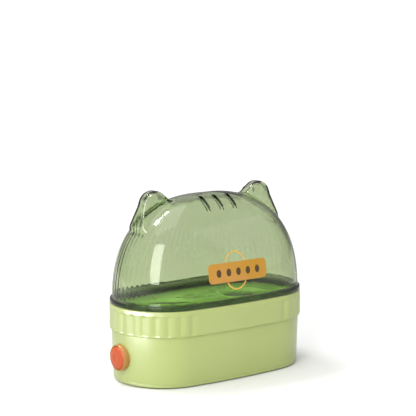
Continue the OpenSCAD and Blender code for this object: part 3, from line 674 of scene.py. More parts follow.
PLASTICS = {
    "Gold print": dict(tint=(0.95, 0.52, 0.06), gloss=0.2, drift=0.3, coat=0.5),
    "Black rubber": dict(tint=(0.02, 0.02, 0.02), gloss=0.7, grain=0.0006, depth=0.00004),
    "White silicone": dict(tint=(0.75, 0.75, 0.70), gloss=0.5, soft=0.3),
    "White nylon": dict(tint=(0.72, 0.71, 0.66), gloss=0.4),
    "Black nylon": dict(tint=(0.018, 0.018, 0.019), gloss=0.45, grain=0.0005, depth=0.00004),
    "Brown phenolic": dict(tint=(0.16, 0.07, 0.03), gloss=0.35, drift=0.4, grain=0.0008),
    "Glazed fuse": dict(tint=(0.80, 0.77, 0.70), gloss=0.18, coat=0.5),
    "Neon lamp": dict(tint=(0.85, 0.25, 0.06), gloss=0.1, coat=1.0),
    "Brown lead": dict(tint=(0.10, 0.035, 0.014), gloss=0.45, grain=0.0007),
    "Black lead": dict(tint=(0.02, 0.02, 0.02), gloss=0.45, grain=0.0007),
    "White lead": dict(tint=(0.72, 0.70, 0.64), gloss=0.65, grain=0.0004, depth=0.00006),
    "Blue lead": dict(tint=(0.02, 0.08, 0.32), gloss=0.45, grain=0.0007),
}
METALS = {
    "Pan steel": dict(tint=(0.66, 0.66, 0.64), gloss=0.27, stain=0.02, depth=0.0000006),
    "Cast aluminium": dict(tint=(0.58, 0.58, 0.59), gloss=0.42, stain=0.3, depth=0.00002),
    "Heat-dark steel": dict(tint=(0.20, 0.19, 0.18), gloss=0.38, stain=0.4),
    "Zinc plate": dict(tint=(0.60, 0.61, 0.63), gloss=0.24),
    "Tinned brass": dict(tint=(0.66, 0.62, 0.54), gloss=0.22),
    "Blank foil": dict(tint=(0.62, 0.63, 0.64), gloss=0.34),
}
NODES_BY_FINISH = {
    "Pastel green body": "bottom_cover lower_housing",
    "Pastel green collar": "fluted_collar",
    "Spring green tray": "egg_tray",
    "Clear bottle green": "lid",
    "Amber print": "lid_badge",
    "Gold print": "lid_emblem",
    "Orange button": "button_cap",
    "Amber ring": "button_bezel",
    "Pan steel": "water_pan",
    "White silicone": "pan_gasket",
    "Black rubber": "rubber_feet",
    "Blank foil": "rating_plate",
    "Cast aluminium": "heat_spreader",
    "Heat-dark steel": "heating_element",
    "Zinc plate": "cover_screws pan_screws element_clips clip_screws thermostat_screws fuse_clip "
                  "button_spring switch_bracket bracket_screws inlet_clip",
    "Tinned brass": "inlet_pins wire_terminals",
    "Brown phenolic": "thermostat",
    "Glazed fuse": "thermal_fuse",
    "White nylon": "button_plunger",
    "Black nylon": "switch_body power_inlet",
    "Neon lamp": "indicator_lamp",
    "Brown lead": "wire_live",
    "Black lead": "wire_switched",
    "White lead": "wire_fuse_link",
    "Blue lead": "wire_neutral",
}
FINISHES = {node: finish for finish, nodes in NODES_BY_FINISH.items() for node in nodes.split()}


class COOKER_OT_finishes(bpy.types.Operator):
    """Builds every finish and paints the nodes that stay as they are"""
    bl_idname = "cooker.finishes"
    bl_label = "Finishes"

    def execute(self, context):
        colours = context.scene.cooker_finishes
        build_moulded_skin()
        build_hairlines()
        build_brushed_metal()
        for name, gloss in (("Pastel green body", 0.3), ("Pastel green collar", 0.32)):
            moulded(name, colours.body, gloss=gloss, patches=0.02, drift=0.08, coat=1.0, grain=0.0016,
                    depth=0.000012, soft=0.12)
        moulded("Spring green tray", colours.tray, gloss=0.30, drift=0.15, soft=0.1)
        moulded("Orange button", colours.button, gloss=0.36, drift=0.2, coat=0.15, soft=0.05)
        moulded("Amber ring", colours.bezel, gloss=0.26, drift=0.3, coat=0.3, soft=0.1)
        printed_badge(colours.badge)
        clear_lid(colours.lid)
        for name, finish in PLASTICS.items():
            moulded(name, **finish)
        for name, finish in METALS.items():
            metal(name, **finish)
        for name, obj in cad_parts.items():
            paint(obj, FINISHES[name])
        return {"FINISHED"}


# ------------------------------------------------------------------ base

def arc_place(x, y, arcs):
    """Arc number, share of the way along it and distance out from its circle, for a place in plan."""
    best = None
    for number, (cx, cy, radius, first, turn) in enumerate(arcs):
        angle = (math.atan2(y - cy, x - cx) - first) % math.tau
        if angle > math.pi + turn / 2:
            angle -= math.tau
        miss = max(0.0, -angle, angle - turn)
        if best is None or miss < best[0]:
            best = (miss, number, angle / turn, math.hypot(x - cx, y - cy) - radius)
    return best[1:]


class COOKER_OT_cover(bpy.types.Operator):
    """Bottom cover: a lipped plate with screw posts, vents and recesses"""
    bl_idname = "cooker.cover"
    bl_label = "Bottom cover"

    def execute(self, context):
        base = context.scene.cooker_base
        low, seam, high = COVER_LOW.z / MM, HOUSING_LOW.z / MM, COVER_HIGH.z
        inset = base.taper_low / MM + 0.2
        rib = base.taper_low / MM + base.wall / MM + 0.2
        plate = oval_sweep("cover", [
            (20, low, 0), (inset, low, 0.9), (inset, seam, 0.15), (rib, seam, 0), (rib, seam + 2, 0.3),
            (rib + 1.2, seam + 2, 0.3), (rib + 1.2, seam, 0.3), (20, seam, 0)], closed=False)
        root = seam * MM - OVERLAP
        fuse(plate, *cylinders(SCREW_PLACES, 4 * MM, root, high),
             *cylinders(BRACKET_POST_PLACES, 2.6 * MM, root, 6 * MM, steps=32))
        vents = [slot_cutter(2 * MM, 20 * MM, -PAST, 4 * MM, ((15 + 6 * k) * MM, 0), math.pi / 2)
                 for k in range(5)]
        cut(plate, *cylinders(SCREW_PLACES, 1.7 * MM, -PAST, high + PAST, steps=32),
            *cylinders(FOOT_PLACES, 4.6 * MM, -PAST, 2 * MM),
            *cylinders(BRACKET_POST_PLACES, 1.5 * MM, 3.4 * MM, 7 * MM, steps=24), *vents)
        cut(plate, *cylinders(SCREW_PLACES, 3.3 * MM, -PAST, 6 * MM))
        label_recess = block((-38.2 * MM, -9.2 * MM, -PAST), (2.2 * MM, 9.2 * MM, (low + 0.35) * MM))
        cut(plate, label_recess)
        soften(plate, 0.25 * MM)
        finish_piece(plate, "bottom_cover", "base")
        return {"FINISHED"}


class COOKER_OT_feet(bpy.types.Operator):
    """Four rubber feet with a dished face and a ring"""
    bl_idname = "cooker.feet"
    bl_label = "Rubber feet"

    def execute(self, context):
        low, high = FEET_LOW.z / MM, FEET_HIGH.z / MM
        profile = [(0, low + 0.25, 0), (2.6, low + 0.25, 0.1), (2.9, low, 0.1), (3.8, low, 0.2),
                   (4.3, low + 0.6, 0.1), (4.5, low + 0.6, 0.1), (4.5, high, 0.3), (0, high, 0)]
        feet = [lathe("foot", profile, steps=48, place=(x, y, 0)) for x, y in FOOT_PLACES]
        finish_piece(joined("feet", feet), "rubber_feet", "base")
        return {"FINISHED"}


class COOKER_OT_housing(bpy.types.Operator):
    """Lower housing: a tapered oval shell with the button's bore and the inlet's window"""
    bl_idname = "cooker.housing"
    bl_label = "Lower housing"

    def execute(self, context):
        base = context.scene.cooker_base
        low, high = HOUSING_LOW.z / MM, HOUSING_HIGH.z / MM
        a, b, wall = base.taper_low / MM, base.taper_high / MM, base.wall / MM
        shell = oval_sweep("housing", [
            (a, low, 0.35), (a - (a - b) / 2, (low + high) / 2, 0), (b, high, 0.35),
            (b + wall, high, 0.3), (a + wall, low, 0.3)], end_steps=96, side_steps=40)
        lip = 0.5 * MM
        bore = cylinder(7.6 * MM, -70 * MM, -50 * MM, steps=64, place=(0, BUTTON_Z), axis="X")
        window = block((50 * MM, INLET_LOW.y + lip, INLET_LOW.z + lip),
                       (70 * MM, INLET_HIGH.y - lip, INLET_HIGH.z - lip))
        cut(shell, bore, window)
        finish_piece(shell, "lower_housing", "base")
        return {"FINISHED"}


class COOKER_OT_collar(bpy.types.Operator):
    """Fluted collar with its smooth rim, the web for the pan and the screw bosses"""
    bl_idname = "cooker.collar"
    bl_label = "Fluted collar"

    def execute(self, context):
        base = context.scene.cooker_base
        foot, rim = HOUSING_HIGH.z / MM, base.rim_height / MM
        web_top, web_low, tongue = GASKET_LOW.z / MM, GASKET_LOW.z / MM - 2, HOUSING_HIGH.z / MM - 3.5
        start, stop = foot + 0.5, rim - 2.2
        wall = base.wall / MM + 0.4
        rows = [(0.0, start + d, 0) for d in (0.3, 0.6, 1.0, 1.6, 3.5, 6.5)]
        rows += [(0.0, stop - d, 0) for d in (3.5, 2.0, 1.4, 1.0, 0.7, 0.4, 0.2)]
        collar = oval_sweep("collar", [
            (0.5, foot, 0.2), (0.45, start, 0)] + rows + [
            (0.2, stop + 0.1, 0), (0.2, rim, 0.7), (wall, rim, 0.5), (wall, web_top, 0.5),
            (12.5, web_top, 0.3), (12.5, web_low, 0.3), (5.4, web_low, 0.4), (5.4, tongue, 0.3),
            (3.6, tongue, 0.4), (3.6, web_low, 0.4), (wall, web_low, 0.4), (wall, foot, 0.3)],
            end_steps=base.flutes_end * 10, side_steps=base.flutes_side * 10)
        self.press_flutes(collar, base, start, stop)
        fuse(collar, *cylinders(SCREW_PLACES, 3.8 * MM, 12 * MM, (web_low + 0.5) * MM))
        cut(collar, *cylinders(SCREW_PLACES, 1.5 * MM, 11 * MM, 24 * MM, steps=32),
            *cylinders(PAN_SCREW_PLACES, 1.7 * MM, web_low * MM - PAST, web_top * MM + PAST, steps=32))
        finish_piece(collar, "fluted_collar", "base")
        return {"FINISHED"}

    def press_flutes(self, collar, base, start, stop):
        """Moves the outer wall's vertices in between the crests; the grooves fade at both ends."""
        arcs = plan_arcs(base.end_radius)
        wall_reach, crest_round, fade_low, fade_high = 1.2 * MM, 0.004, 0.8, 1.6
        for vertex in collar.data.vertices:
            height = vertex.co.z / MM
            number, share, out = arc_place(vertex.co.x, vertex.co.y, arcs)
            if not start < height < stop + 0.05 or out < -wall_reach:
                continue
            count = base.flutes_end if number % 2 == 0 else base.flutes_side
            crest = math.sqrt(math.sin(math.pi * share * count) ** 2 + crest_round)
            ramp = min(1.0, (height - start) / fade_low, (stop + 0.1 - height) / fade_high)
            press = base.flute_depth * max(0.0, 1 - crest) * math.sin(math.pi / 2 * max(ramp, 0.0))
            cx, cy = arcs[number][:2]
            vertex.co -= Vector((vertex.co.x - cx, vertex.co.y - cy, 0)).normalized() * press


class COOKER_OT_water_pan(bpy.types.Operator):
    """Drawn steel water pan with a rolled flange, and its silicone gasket"""
    bl_idname = "cooker.water_pan"
    bl_label = "Water pan"

    def execute(self, context):
        floor, flange, boss = PAN_LOW.z / MM, GASKET_HIGH.z / MM, PAN_HIGH.z / MM
        sheet = 0.8
        pan = oval_sweep("pan", [
            (21, floor + sheet, 0), (12.8 + sheet, floor + sheet, 1.6), (12.8 + sheet, flange + sheet, 0.5),
            (3, flange + sheet, 0.3), (3, flange, 0.3), (12.8, flange, 0.9), (12.8, floor, 2.4),
            (21, floor, 0)], closed=False)
        profile = [(0, flange + 0.1, 0), (2.4, flange + 0.1, 0), (2.4, boss, 0.6), (0, boss, 0)]
        fuse(pan, *[lathe("boss", profile, steps=32, place=(x, y, 0)) for x, y in PAN_SCREW_PLACES])
        finish_piece(pan, "water_pan", "base")
        low, high = GASKET_LOW.z / MM, GASKET_HIGH.z / MM
        gasket = oval_sweep("gasket", [
            (4, low, 0.2), (4, high, 0.2), (12.6, high, 0.2), (12.6, low, 0.2)])
        cut(gasket, *cylinders(PAN_SCREW_PLACES, 1.7 * MM, 30 * MM, 50 * MM, steps=32))
        finish_piece(gasket, "pan_gasket", "base")
        return {"FINISHED"}


class COOKER_OT_button(bpy.types.Operator):
    """Push button, its bezel and its return spring"""
    bl_idname = "cooker.button"
    bl_label = "Push button"

    def execute(self, context):
        button = context.scene.cooker_button
        front = -BEZEL_LOW.x / MM
        bore, ring = button.bore / MM, BEZEL_HIGH.y / MM
        back, seat, neck = -BEZEL_HIGH.x / MM, 63.29, 7.5
        bezel = lathe("bezel", [
            (bore, back, 0.15), (neck, back, 0.15), (neck, seat, 0),
            (ring, seat, 0.15), (ring, front - 0.9, 0.5), (ring - 0.35, front, 0.3),
            (bore + 0.2, front, 0.25), (bore, front - 0.6, 0)],
            closed=True, steps=96, place=(0, 0, BUTTON_Z), face="-X")
        finish_piece(bezel, "button_bezel", "base")
        cap_front, cap_back, cap = -CAP_LOW.x / MM, -CAP_HIGH.x / MM, button.cap_radius / MM
        skin = cap_front - 2
        face = lathe("cap", [
            (0, cap_front - 0.35, 0), (1.6, cap_front - 0.3, 0.4), (2.1, cap_front - 0.05, 0.3),
            (3.6, cap_front - 0.15, 1.5), (cap - 0.5, cap_front - 0.75, 0.5), (cap, cap_front - 1.5, 0.4),
            (cap, cap_back + 0.8, 0), (7.4, cap_back + 0.8, 0.1), (7.4, cap_back, 0.1),
            (cap - 1.3, cap_back, 0.1), (cap - 1.3, skin, 0.3), (0, skin, 0)],
            steps=96, place=(0, 0, BUTTON_Z), face="-X")
        finish_piece(face, "button_cap", "button")
        self.wind_spring()
        return {"FINISHED"}

    def wind_spring(self):
        """The return spring: a coil of wire along the frame's spring, carried with the button."""
        turns, wire, steps = 6, 0.3 * MM, 24
        coil = (SPRING_HIGH.y - SPRING_LOW.y) / 2 - wire
        free_length = SPRING_HIGH.x - SPRING_LOW.x
        points = []
        for i in range(turns * steps + 1):
            share = i / (turns * steps)
            x = SPRING_LOW.x + wire + (free_length - 2 * wire) * share
            angle = math.tau * turns * share
            points.append((x, coil * math.cos(angle), BUTTON_Z + coil * math.sin(angle)))
        spring = tube("spring", points, wire, sides=8)
        finish_piece(spring, "button_spring", "button")
        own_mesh(spring)


class COOKER_OT_inlet(bpy.types.Operator):
    """Mains inlet: a softened flange with a figure-of-eight socket"""
    bl_idname = "cooker.inlet"
    bl_label = "Mains inlet"

    def execute(self, context):
        low, high = INLET_LOW, INLET_HIGH
        lip, wall_x = 0.6 * MM, HOUSING_HIGH.x
        flange = block((wall_x - 3 * MM, low.y, low.z), (high.x, high.y, high.z))
        soften(flange, 0.5 * MM, segments=3, angle=60)
        shell = oval_sweep("shell", [(21, 4, 0), (1.95, 4, 0), (1.6, 26, 0), (21, 26, 0)], closed=False,
                           end_steps=96, side_steps=20)
        cut(flange, shell)
        body = block((low.x, low.y + lip, low.z + lip), (high.x - 1 * MM, high.y - lip, high.z - lip))
        soften(body, 0.4 * MM, segments=3, angle=60)
        fuse(flange, body)
        socket = cylinder(4 * MM, 56 * MM, 80 * MM, place=(0, INLET_Z), axis="X")
        for side in (1, -1):
            stretched(socket, (0, side * 3.5 * MM, 0), lambda p: side * p.y > 1e-6)
        cut(flange, socket)
        pin_places = [(side * 4.3 * MM, INLET_Z) for side in (1, -1)]
        cut(flange, *cylinders(pin_places, 1.18 * MM, low.x - PAST, 60 * MM, steps=32, axis="X"))
        finish_piece(flange, "power_inlet", "base")
        return {"FINISHED"}


# ------------------------------------------------------------------ egg tray

class COOKER_OT_egg_tray(bpy.types.Operator):
    """Lift-out egg tray: two dished seats, steam slots round them and a skirt"""
    bl_idname = "cooker.egg_tray"
    bl_label = "Egg tray"

    def execute(self, context):
        tray = context.scene.cooker_tray
        low, seat_top = TRAY_LOW.z / MM, TRAY_HIGH.z / MM
        top = seat_top - 0.9
        plate, radius = tray.plate / MM, tray.seat_radius / MM
        inset = context.scene.cooker_base.wall / MM + 0.7
        deck = oval_sweep("deck", [
            (9, top, 0), (inset + 1.4, top, 0.4), (inset + 1.2, top - 0.35, 0.3), (inset + 0.9, top, 0.3),
            (inset, top, 0.5), (inset, low, 0.3), (inset + 1.6, low, 0.3), (inset + 1.6, top - plate, 0.5),
            (9, top - plate, 0)], closed=False, end_steps=64, side_steps=32)
        seats = (-tray.seat_x, tray.seat_x)
        through = (30 * MM, 60 * MM)
        cut(deck, *cylinders([(x, 0) for x in seats], (radius + 1.5) * MM, *through, steps=96))
        profile = [(radius, top - 3, 0.2), (radius + 3.2, top - 3, 0.4), (radius + 3.2, seat_top, 0.45),
                   (radius + 2.1, seat_top, 0.35), (radius, top - 1.2, 0.6)]
        fuse(deck, *[lathe("seat", profile, closed=True, steps=96, place=(x, 0, 0)) for x in seats])
        circle = (radius + 7.25) * MM
        for x in seats:
            for k in range(1, 9):
                angle = math.radians(40 * k)
                place = (x + circle * math.cos(angle), circle * math.sin(angle))
                cut(deck, slot_cutter(tray.slot_width, 3.5 * MM, *through, place, angle))
        for k in range(-2, 3):
            cut(deck, slot_cutter(3 * MM, 7 * MM, *through, (0, k * 8 * MM)))
        soften(deck, 0.25 * MM, segments=2, angle=50)
        finish_piece(deck, "egg_tray", "egg_tray")
        return {"FINISHED"}


# ------------------------------------------------------------------ lid

LID_FOOT = COLLAR_HIGH.z / MM
EAR_TOP = LID_HIGH.z / MM
EAR_Y = 1.0
SLOT_PITCH = 10
# Discs that an ear's outline wraps, in order round it: x, z, radius
EAR_DISCS = [(39.3, EAR_TOP - 8.7, 8.7), (47.5, 93.2, 4.6), (44, 87, 3), (38, 92, 3), (28.2, 99, 5.9)]
EAR_EDGE = 2.6       # round of an ear's edge
EAR_HALF_THICK = 4.3
EAR_SPREAD = 0.28    # how fast an ear thickens towards its foot
DOME_POWER = 2.46    # fullness of the dome seen from the front
END_SHARE = 0.955    # radius of the dome's ends, as a share of its half depth


def flank_radius(length, depth, end):
    """Radius of the long arcs of an oval that has round ends of radius end."""
    return ((length - end) ** 2 + depth ** 2 - end ** 2) / (2 * (depth - end))


def oval_distance(x, y, length, depth, end):
    """Signed distance in plan from four-arc ovals, one for each place."""
    x, y = np.abs(x), np.abs(y)
    side = flank_radius(length, depth, end)
    in_end = (length - end) * y - (side - depth) * (x - (length - end)) <= 0
    round_end = np.hypot(x - (length - end), y) - end
    flank = np.hypot(x, y - (depth - side)) - side
    return np.where(in_end, round_end, flank)


def dome_sizes(z, lid, inset):
    """Half length and half depth of the dome at each height."""
    share = np.clip((z - LID_FOOT) / (lid.crown / MM - LID_FOOT - inset), 0.0, 0.99999)
    length = (lid.half_length / MM - inset) * (1 - share ** DOME_POWER) ** (1 / DOME_POWER)
    depth = (lid.half_depth / MM - inset) * np.sqrt(1 - share ** 2)
    return np.maximum(length, 0.3), np.maximum(depth, 0.2)


def dome_distance(x, y, z, lid, inset):
    """Distance from the dome moved inwards by inset, as seen along its normal."""
    step = 0.05

    def level(height):
        length, depth = dome_sizes(height, lid, inset)
        return oval_distance(x, y, np.maximum(length, depth + 0.1), depth, END_SHARE * depth)

    here = level(z)
    slope = (level(z + step) - level(z - step)) / (2 * step)
    return here / np.sqrt(1 + slope ** 2)


def cone_distance(px, pz, disc_a, disc_b):
    """Distance in a plane from the hull of two discs."""
    (ax, az, ra), (bx, bz, rb) = disc_a, disc_b
    dx, dz, dr = bx - ax, bz - az, ra - rb
    span = dx * dx + dz * dz
    lean = span - dr * dr
    qx, qz = px - ax, pz - az
    y = qx * dx + qz * dz
    z = y - span
    x2 = (qx * span - dx * y) ** 2 + (qz * span - dz * y) ** 2
    y2, z2 = y * y * span, z * z * span
    k = np.sign(dr) * dr * dr * x2
    middle = (np.sqrt(x2 * lean / span) + y * dr) / span - ra
    far = np.sqrt(x2 + z2) / span - rb
    near = np.sqrt(x2 + y2) / span - ra
    return np.where(np.sign(z) * lean * z2 > k, far, np.where(np.sign(y) * lean * y2 < k, near, middle))


def ear_distance(x, y, z, inset):
    """Distance from an ear: its outline in the X-Z plane, thick at the foot, with a round edge."""
    px = np.abs(x)
    flat = np.full_like(px, 1e3)
    inside = np.full_like(px, -1e3)
    for a, b in zip(EAR_DISCS, EAR_DISCS[1:] + EAR_DISCS[:1]):
        flat = np.minimum(flat, cone_distance(px, z, a, b))
        dx, dz = b[0] - a[0], b[1] - a[1]
        away = (-(px - a[0]) * dz + (z - a[1]) * dx) / math.hypot(dx, dz)
        inside = np.maximum(inside, away)
    flat = np.minimum(flat, inside)
    out = flat + EAR_EDGE
    off = np.abs(y - EAR_Y) - (EAR_HALF_THICK + EAR_SPREAD * np.clip(105 - z, 0, 16)) + EAR_EDGE
    core = np.minimum(np.maximum(out, off), 0)
    return core + np.hypot(np.maximum(out, 0), np.maximum(off, 0)) - EAR_EDGE + inset


def lid_distance(x, y, z, lid, inset):
    """Distance from the lid's dome and ears, smoothly blended."""
    dome = dome_distance(x, y, z, lid, inset)
    ear = ear_distance(x, y, z, inset)
    blend = lid.blend / MM
    mix = np.clip(0.5 + 0.5 * (ear - dome) / blend, 0, 1)
    return ear * (1 - mix) + dome * mix - blend * mix * (1 - mix)


def lid_surface(columns, angles, lid, inset):
    """Places where rays from the middle of the foot meet the surface; inset may differ by place."""
    ray = np.stack([columns[None, :, 0] * np.cos(angles)[:, None],
                    columns[None, :, 1] * np.cos(angles)[:, None],
                    (lid.crown / MM - LID_FOOT) * np.sin(angles)[:, None] * np.ones(len(columns))], -1)
    near, far = np.full(ray.shape[:2], 0.4), np.full(ray.shape[:2], 1.5)
    halvings = 34
    for _ in range(halvings):
        middle = (near + far) / 2
        place = ray * middle[..., None]
        out = lid_distance(place[..., 0], place[..., 1], place[..., 2] + LID_FOOT, lid, inset) > 0
        far = np.where(out, middle, far)
        near = np.where(out, near, middle)
    place = ray * ((near + far) / 2)[..., None]
    place[..., 2] += LID_FOOT
    return place


def smooth_step(low, high, value):
    """From 0 at low to 1 at high, level at both ends."""
    share = np.clip((value - low) / (high - low), 0, 1)
    return share * share * (3 - 2 * share)


class COOKER_OT_lid(bpy.types.Operator):
    """Clear lid: a dome with two hollow ears, a lip, a skirt and three steam slots"""
    bl_idname = "cooker.lid"
    bl_label = "Clear lid"

    def execute(self, context):
        lid, base = context.scene.cooker_lid, context.scene.cooker_base
        points_per_rib = 6
        ribs = (2 * base.flutes_end, 2 * base.flutes_side) * 2
        shares = [(number, k / (count * points_per_rib)) for number, count in enumerate(ribs)
                  for k in range(count * points_per_rib)]
        arcs = plan_arcs(base.end_radius)

        def plan(inset):
            """The oval foot of the dome, moved inwards."""
            ring = []
            for number, share in shares:
                cx, cy, radius, first, turn = arcs[number]
                angle = first + turn * share
                r = radius / MM - inset
                ring.append((cx / MM + r * math.cos(angle), cy / MM + r * math.sin(angle)))
            return np.array(ring)

        columns = plan(0.0)
        angles = np.radians(np.concatenate([
            np.linspace(3.6, 38, 20, endpoint=False), np.linspace(38, 70, 36, endpoint=False),
            np.linspace(70, 88.8, 14)]))
        wave = np.array([0.5 - 0.5 * math.cos(math.tau * share * ribs[number])
                         for number, share in shares])
        fade = 1 - smooth_step(40, 60, np.degrees(angles))
        front = smooth_step(-26, -6, columns[:, 1])
        ripple = lid.ripple / MM * (wave * front)[None, :] * fade[:, None]
        outer = lid_surface(columns, angles, lid, 0.0)
        inner = lid_surface(columns, angles, lid, lid.wall / MM + ripple)
        foot, top, skirt = LID_FOOT + 0.05, LID_FOOT + 3.0, LID_LOW.z / MM
        lip = rounded([(1.4, top, 0), (0.3, top, 0.9), (0.3, foot, 0.9), (2.75, foot, 0.25),
                       (2.7, skirt, 0.4), (4.2, skirt, 0.4), (4.2, top, 0)], closed=False)
        rings = [*outer[::-1]]
        rings += [np.column_stack([plan(inset / MM), np.full(len(columns), z / MM)]) for inset, z in lip]
        rings += [*inner]
        size = len(columns)
        crown = lid.crown / MM
        vertices = [(0, 0, crown), *(p for ring in rings for p in ring), (0, 0, crown - lid.wall / MM)]
        last = len(vertices) - 1
        tail = last - size
        faces = []
        for k in range(size):
            after = (k + 1) % size
            faces.append((0, 1 + after, 1 + k))
            faces.append((last, tail + k, tail + after))
            for i in range(len(rings) - 1):
                a, b = 1 + i * size, 1 + (i + 1) * size
                faces.append((a + k, a + after, b + after, b + k))
        shell = solid("dome", [tuple(c * MM for c in v) for v in vertices], faces)
        for side in (-1, 0, 1):
            place = (side * SLOT_PITCH * MM, -10.75 * MM)
            cut(shell, slot_cutter(2.2 * MM, 7.5 * MM, 90 * MM, 120 * MM, place, math.pi / 2))
        finish_piece(shell, "lid", "lid", smooth=50)
        return {"FINISHED"}


def dome_front(x, z, lid):
    """Distance in front of the middle plane of the dome's front face, in millimetres."""
    length, depth = dome_sizes(np.array([z]), lid, 0.0)
    length, depth = float(length[0]), float(depth[0])
    side = flank_radius(length, depth, END_SHARE * depth)
    return math.sqrt(side * side - x * x) - (side - depth)


EMBLEM_LIFT = 0.17  # middle of the emblem's line, in front of the dome


class COOKER_OT_badge(bpy.types.Operator):
    """Amber badge and the gold outline behind it, both laid on the front of the dome"""
    bl_idname = "cooker.badge"
    bl_label = "Badge"

    def execute(self, context):
        lid = context.scene.cooker_lid
        half_x, half_z = BADGE_HIGH.x / MM, (BADGE_HIGH.z - BADGE_LOW.z) / 2 / MM
        middle, corner, skin, lift = (BADGE_HIGH.z + BADGE_LOW.z) / 2 / MM, 2.6, 0.36, 0.06
        start_clean()
        bpy.ops.mesh.primitive_grid_add(x_subdivisions=64, y_subdivisions=24, size=2)
        badge = bpy.context.object
        for vertex in badge.data.vertices:
            along, up = vertex.co.x, math.sin(vertex.co.y * math.pi / 2) * half_z
            into = max(0.0, abs(up) - (half_z - corner))
            reach = half_x - corner + math.sqrt(max(corner ** 2 - into ** 2, 0.0))
            x, z = along * reach, middle + up
            vertex.co = (x * MM, -(dome_front(x, z, lid) + lift) * MM, z * MM)
        close_up(modified(badge, "SOLIDIFY", thickness=skin * MM, offset=1.0))
        soften(badge, 0.12 * MM, segments=2, angle=60)
        finish_piece(badge, "lid_badge", "lid")
        self.lay_emblem(lid)
        return {"FINISHED"}

    def lay_emblem(self, lid):
        """The parts of a plain oval outline that the badge leaves in sight."""
        middle_x, middle_z, half_wide, half_tall, steps = -1.5, 66.5, 8.45, 11.1, 40
        arcs = []
        for first, finish in ((29, 151), (218, 322)):
            points = []
            for k in range(steps + 1):
                angle = math.radians(first + (finish - first) * k / steps)
                x, z = middle_x + half_wide * math.cos(angle), middle_z + half_tall * math.sin(angle)
                points.append((x * MM, -(dome_front(x, z, lid) + EMBLEM_LIFT) * MM, z * MM))
            arcs.append(tube("emblem", points, 0.42 * MM, sides=12))
        flatten_to_dome(arcs, lid)
        finish_piece(joined("emblem", arcs), "lid_emblem", "lid")


def flatten_to_dome(objects, lid):
    """Presses round rods to a low line, 0.25 mm thick, on the front of the dome."""
    for obj in objects:
        for vertex in obj.data.vertices:
            x, z = vertex.co.x / MM, vertex.co.z / MM
            surface = dome_front(x, z, lid)
            off = -vertex.co.y / MM - surface
            vertex.co.y = -(surface + EMBLEM_LIFT + (off - EMBLEM_LIFT) * 0.28) * MM


# ------------------------------------------------------------------ stage

def area_light(name, place, target, size_x, size_y, power):
    """A rectangular soft light that faces the target."""
    start_clean()
    bpy.ops.object.light_add(type="AREA", location=place)
    light = bpy.context.object
    light.name = name
    light.data.shape = "RECTANGLE"
    light.data.size, light.data.size_y = size_x, size_y
    light.data.energy = power
    face(light, place, target)
    return light


def face(obj, place, target):
    """Turns a light or the camera from its place to the target."""
    obj.rotation_euler = (Vector(target) - Vector(place)).to_track_quat("-Z", "Y").to_euler()


# Height on the sky from nadir 0 to zenith 1, and its brightness there
SKY = ((0.0, 0.92), (0.47, 0.92), (0.505, 0.30), (0.75, 0.68), (1.0, 1.0))


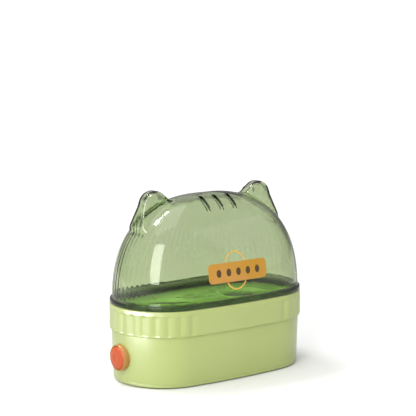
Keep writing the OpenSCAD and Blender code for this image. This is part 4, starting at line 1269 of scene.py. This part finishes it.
class COOKER_OT_stage(bpy.types.Operator):
    """Pale floor, soft studio light and the camera"""
    bl_idname = "cooker.stage"
    bl_label = "Stage"

    def execute(self, context):
        scene = context.scene
        stage = scene.cooker_stage
        self.lay_floor()
        aim = (0, 0, 0.055)
        area_light("key_softbox", (-0.86, -0.58, 0.52), aim, 0.42, 0.85, stage.key_power)
        sheen = area_light("left_sheen", (-1.1, 0.05, 0.19), aim, 1.0, 0.34, 26.0)
        sheen.visible_diffuse = False
        shells = bpy.data.collections.new("sheen_receivers")
        for name in ("lower_housing_shape", "fluted_collar_shape", "bottom_cover_shape"):
            shells.objects.link(scene.objects[name])
        sheen.light_linking.receiver_collection = shells
        area_light("top_softbox", (-0.15, 0.1, 1.25), aim, 1.1, 0.9, 3.0)
        area_light("shoulder_strip", (-0.19, 0.37, 1.0), (-0.04, 0, 0.1), 0.46, 0.07, 3.0)
        area_light("right_fill", (1.0, -0.9, 0.55), aim, 0.6, 0.9, 0.6)
        self.light_world(scene)
        self.place_camera(scene, stage)
        scene.view_settings.view_transform = "Standard"
        scene.view_settings.look = "None"
        return {"FINISHED"}

    def lay_floor(self):
        """A pale floor that fades out round the cooker and can be looked through from below."""
        start_clean()
        bpy.ops.mesh.primitive_plane_add(size=1.4, location=(0, 0, 0))
        floor = bpy.context.object
        floor.name = "floor"
        tree, place, shader = new_material("Pale floor")
        cloud = noise(tree, place, 3.0, 2.0)
        pale = shifted(tree, (0.95, 0.95, 0.945, 1), maths(tree, "MULTIPLY_ADD", cloud, 0.02, 0.99))
        seen = put(tree, "LightPath").outputs["Is Camera Ray"]
        away = put(tree, "VectorMath", {"operation": "LENGTH"}, i0=place).outputs["Value"]
        back = put(tree, "NewGeometry").outputs["Backfacing"]
        shown = times(tree, faded(tree, away, 0.55, 0.24), minus(tree, 1.0, back))
        feed(tree, shader, Base_Color=mixed(tree, seen, (0.62, 0.62, 0.60, 1), pale), Roughness=0.8,
             Specular_IOR_Level=0.1, Alpha=shown)
        paint(floor, "Pale floor")

    def light_world(self, scene):
        """White to the camera; softly graded to everything else, so that clear edges read dark."""
        world = bpy.data.worlds.new("Studio")
        scene.world = world
        world.use_nodes = True
        tree = world.node_tree
        tree.nodes.clear()
        x, _, z = put(tree, "SeparateXYZ", i0=put(tree, "TexCoord").outputs["Generated"]).outputs
        height = maths(tree, "MULTIPLY_ADD", z, 0.5, 0.5)
        ramp = put(tree, "ValToRGB", i0=height)
        stops = ramp.color_ramp.elements
        for spare in stops[1:]:
            stops.remove(spare)
        stops[0].color = (SKY[0][1],) * 3 + (1,)
        for place, level in SKY[1:]:
            stops.new(place).color = (level, level, level, 1)
        seen = put(tree, "Background", Color=(1, 1, 1, 1), Strength=1.1)
        across = maths(tree, "MULTIPLY_ADD", x, -0.32, 0.9)
        soft = put(tree, "Background", Color=ramp.outputs[0], Strength=across)
        camera_ray = put(tree, "LightPath").outputs["Is Camera Ray"]
        sky = put(tree, "MixShader", i0=camera_ray, i1=soft.outputs[0], i2=seen.outputs[0])
        put(tree, "OutputWorld", Surface=sky.outputs[0])

    def place_camera(self, scene, stage):
        """A long lens, low in front of the button's end."""
        start_clean()
        place, aim = Vector((-0.5255, -0.6973, 0.2303)), Vector((0.0066, 0.0074, 0.0986))
        bpy.ops.object.camera_add(location=place)
        camera = bpy.context.object
        face(camera, place, aim)
        camera.data.lens = stage.lens
        camera.data.sensor_width = 36
        camera.data.clip_start = 0.01
        scene.camera = camera


# ------------------------------------------------------------------ panel and registration

OPERATORS = [COOKER_OT_finishes, COOKER_OT_cover, COOKER_OT_feet, COOKER_OT_housing, COOKER_OT_collar,
             COOKER_OT_water_pan, COOKER_OT_button, COOKER_OT_inlet, COOKER_OT_egg_tray, COOKER_OT_lid,
             COOKER_OT_badge, COOKER_OT_stage]
SETTINGS = {"cooker_base": CookerBase, "cooker_tray": CookerTray, "cooker_lid": CookerLid,
            "cooker_button": CookerButton, "cooker_finishes": CookerFinishes,
            "cooker_stage": CookerStage}


class COOKER_PT_panel(bpy.types.Panel):
    """Lists the cooker's settings and the operators that build it"""
    bl_idname = "COOKER_PT_panel"
    bl_label = "Egg Cooker"
    bl_space_type = "VIEW_3D"
    bl_region_type = "UI"
    bl_category = "Egg Cooker"

    def draw(self, context):
        for name in SETTINGS:
            group = getattr(context.scene, name)
            box = self.layout.box()
            for key in group.__annotations__:
                box.prop(group, key)
        for operator in OPERATORS:
            self.layout.operator(operator.bl_idname)


def register():
    """Adds the settings, the operators and the panel to Blender."""
    for settings in SETTINGS.values():
        bpy.utils.register_class(settings)
    for name, settings in SETTINGS.items():
        setattr(bpy.types.Scene, name, PointerProperty(type=settings))
    for kind in (*OPERATORS, COOKER_PT_panel):
        bpy.utils.register_class(kind)


def unregister():
    """Takes them away again."""
    for kind in (COOKER_PT_panel, *reversed(OPERATORS)):
        bpy.utils.unregister_class(kind)
    for name in SETTINGS:
        delattr(bpy.types.Scene, name)
    for settings in SETTINGS.values():
        bpy.utils.unregister_class(settings)


def main():
    """Builds the whole cooker."""
    register()
    for operator in OPERATORS:
        group, action = operator.bl_idname.split(".")
        getattr(getattr(bpy.ops, group), action)()


if __name__ == "__main__":
    main()
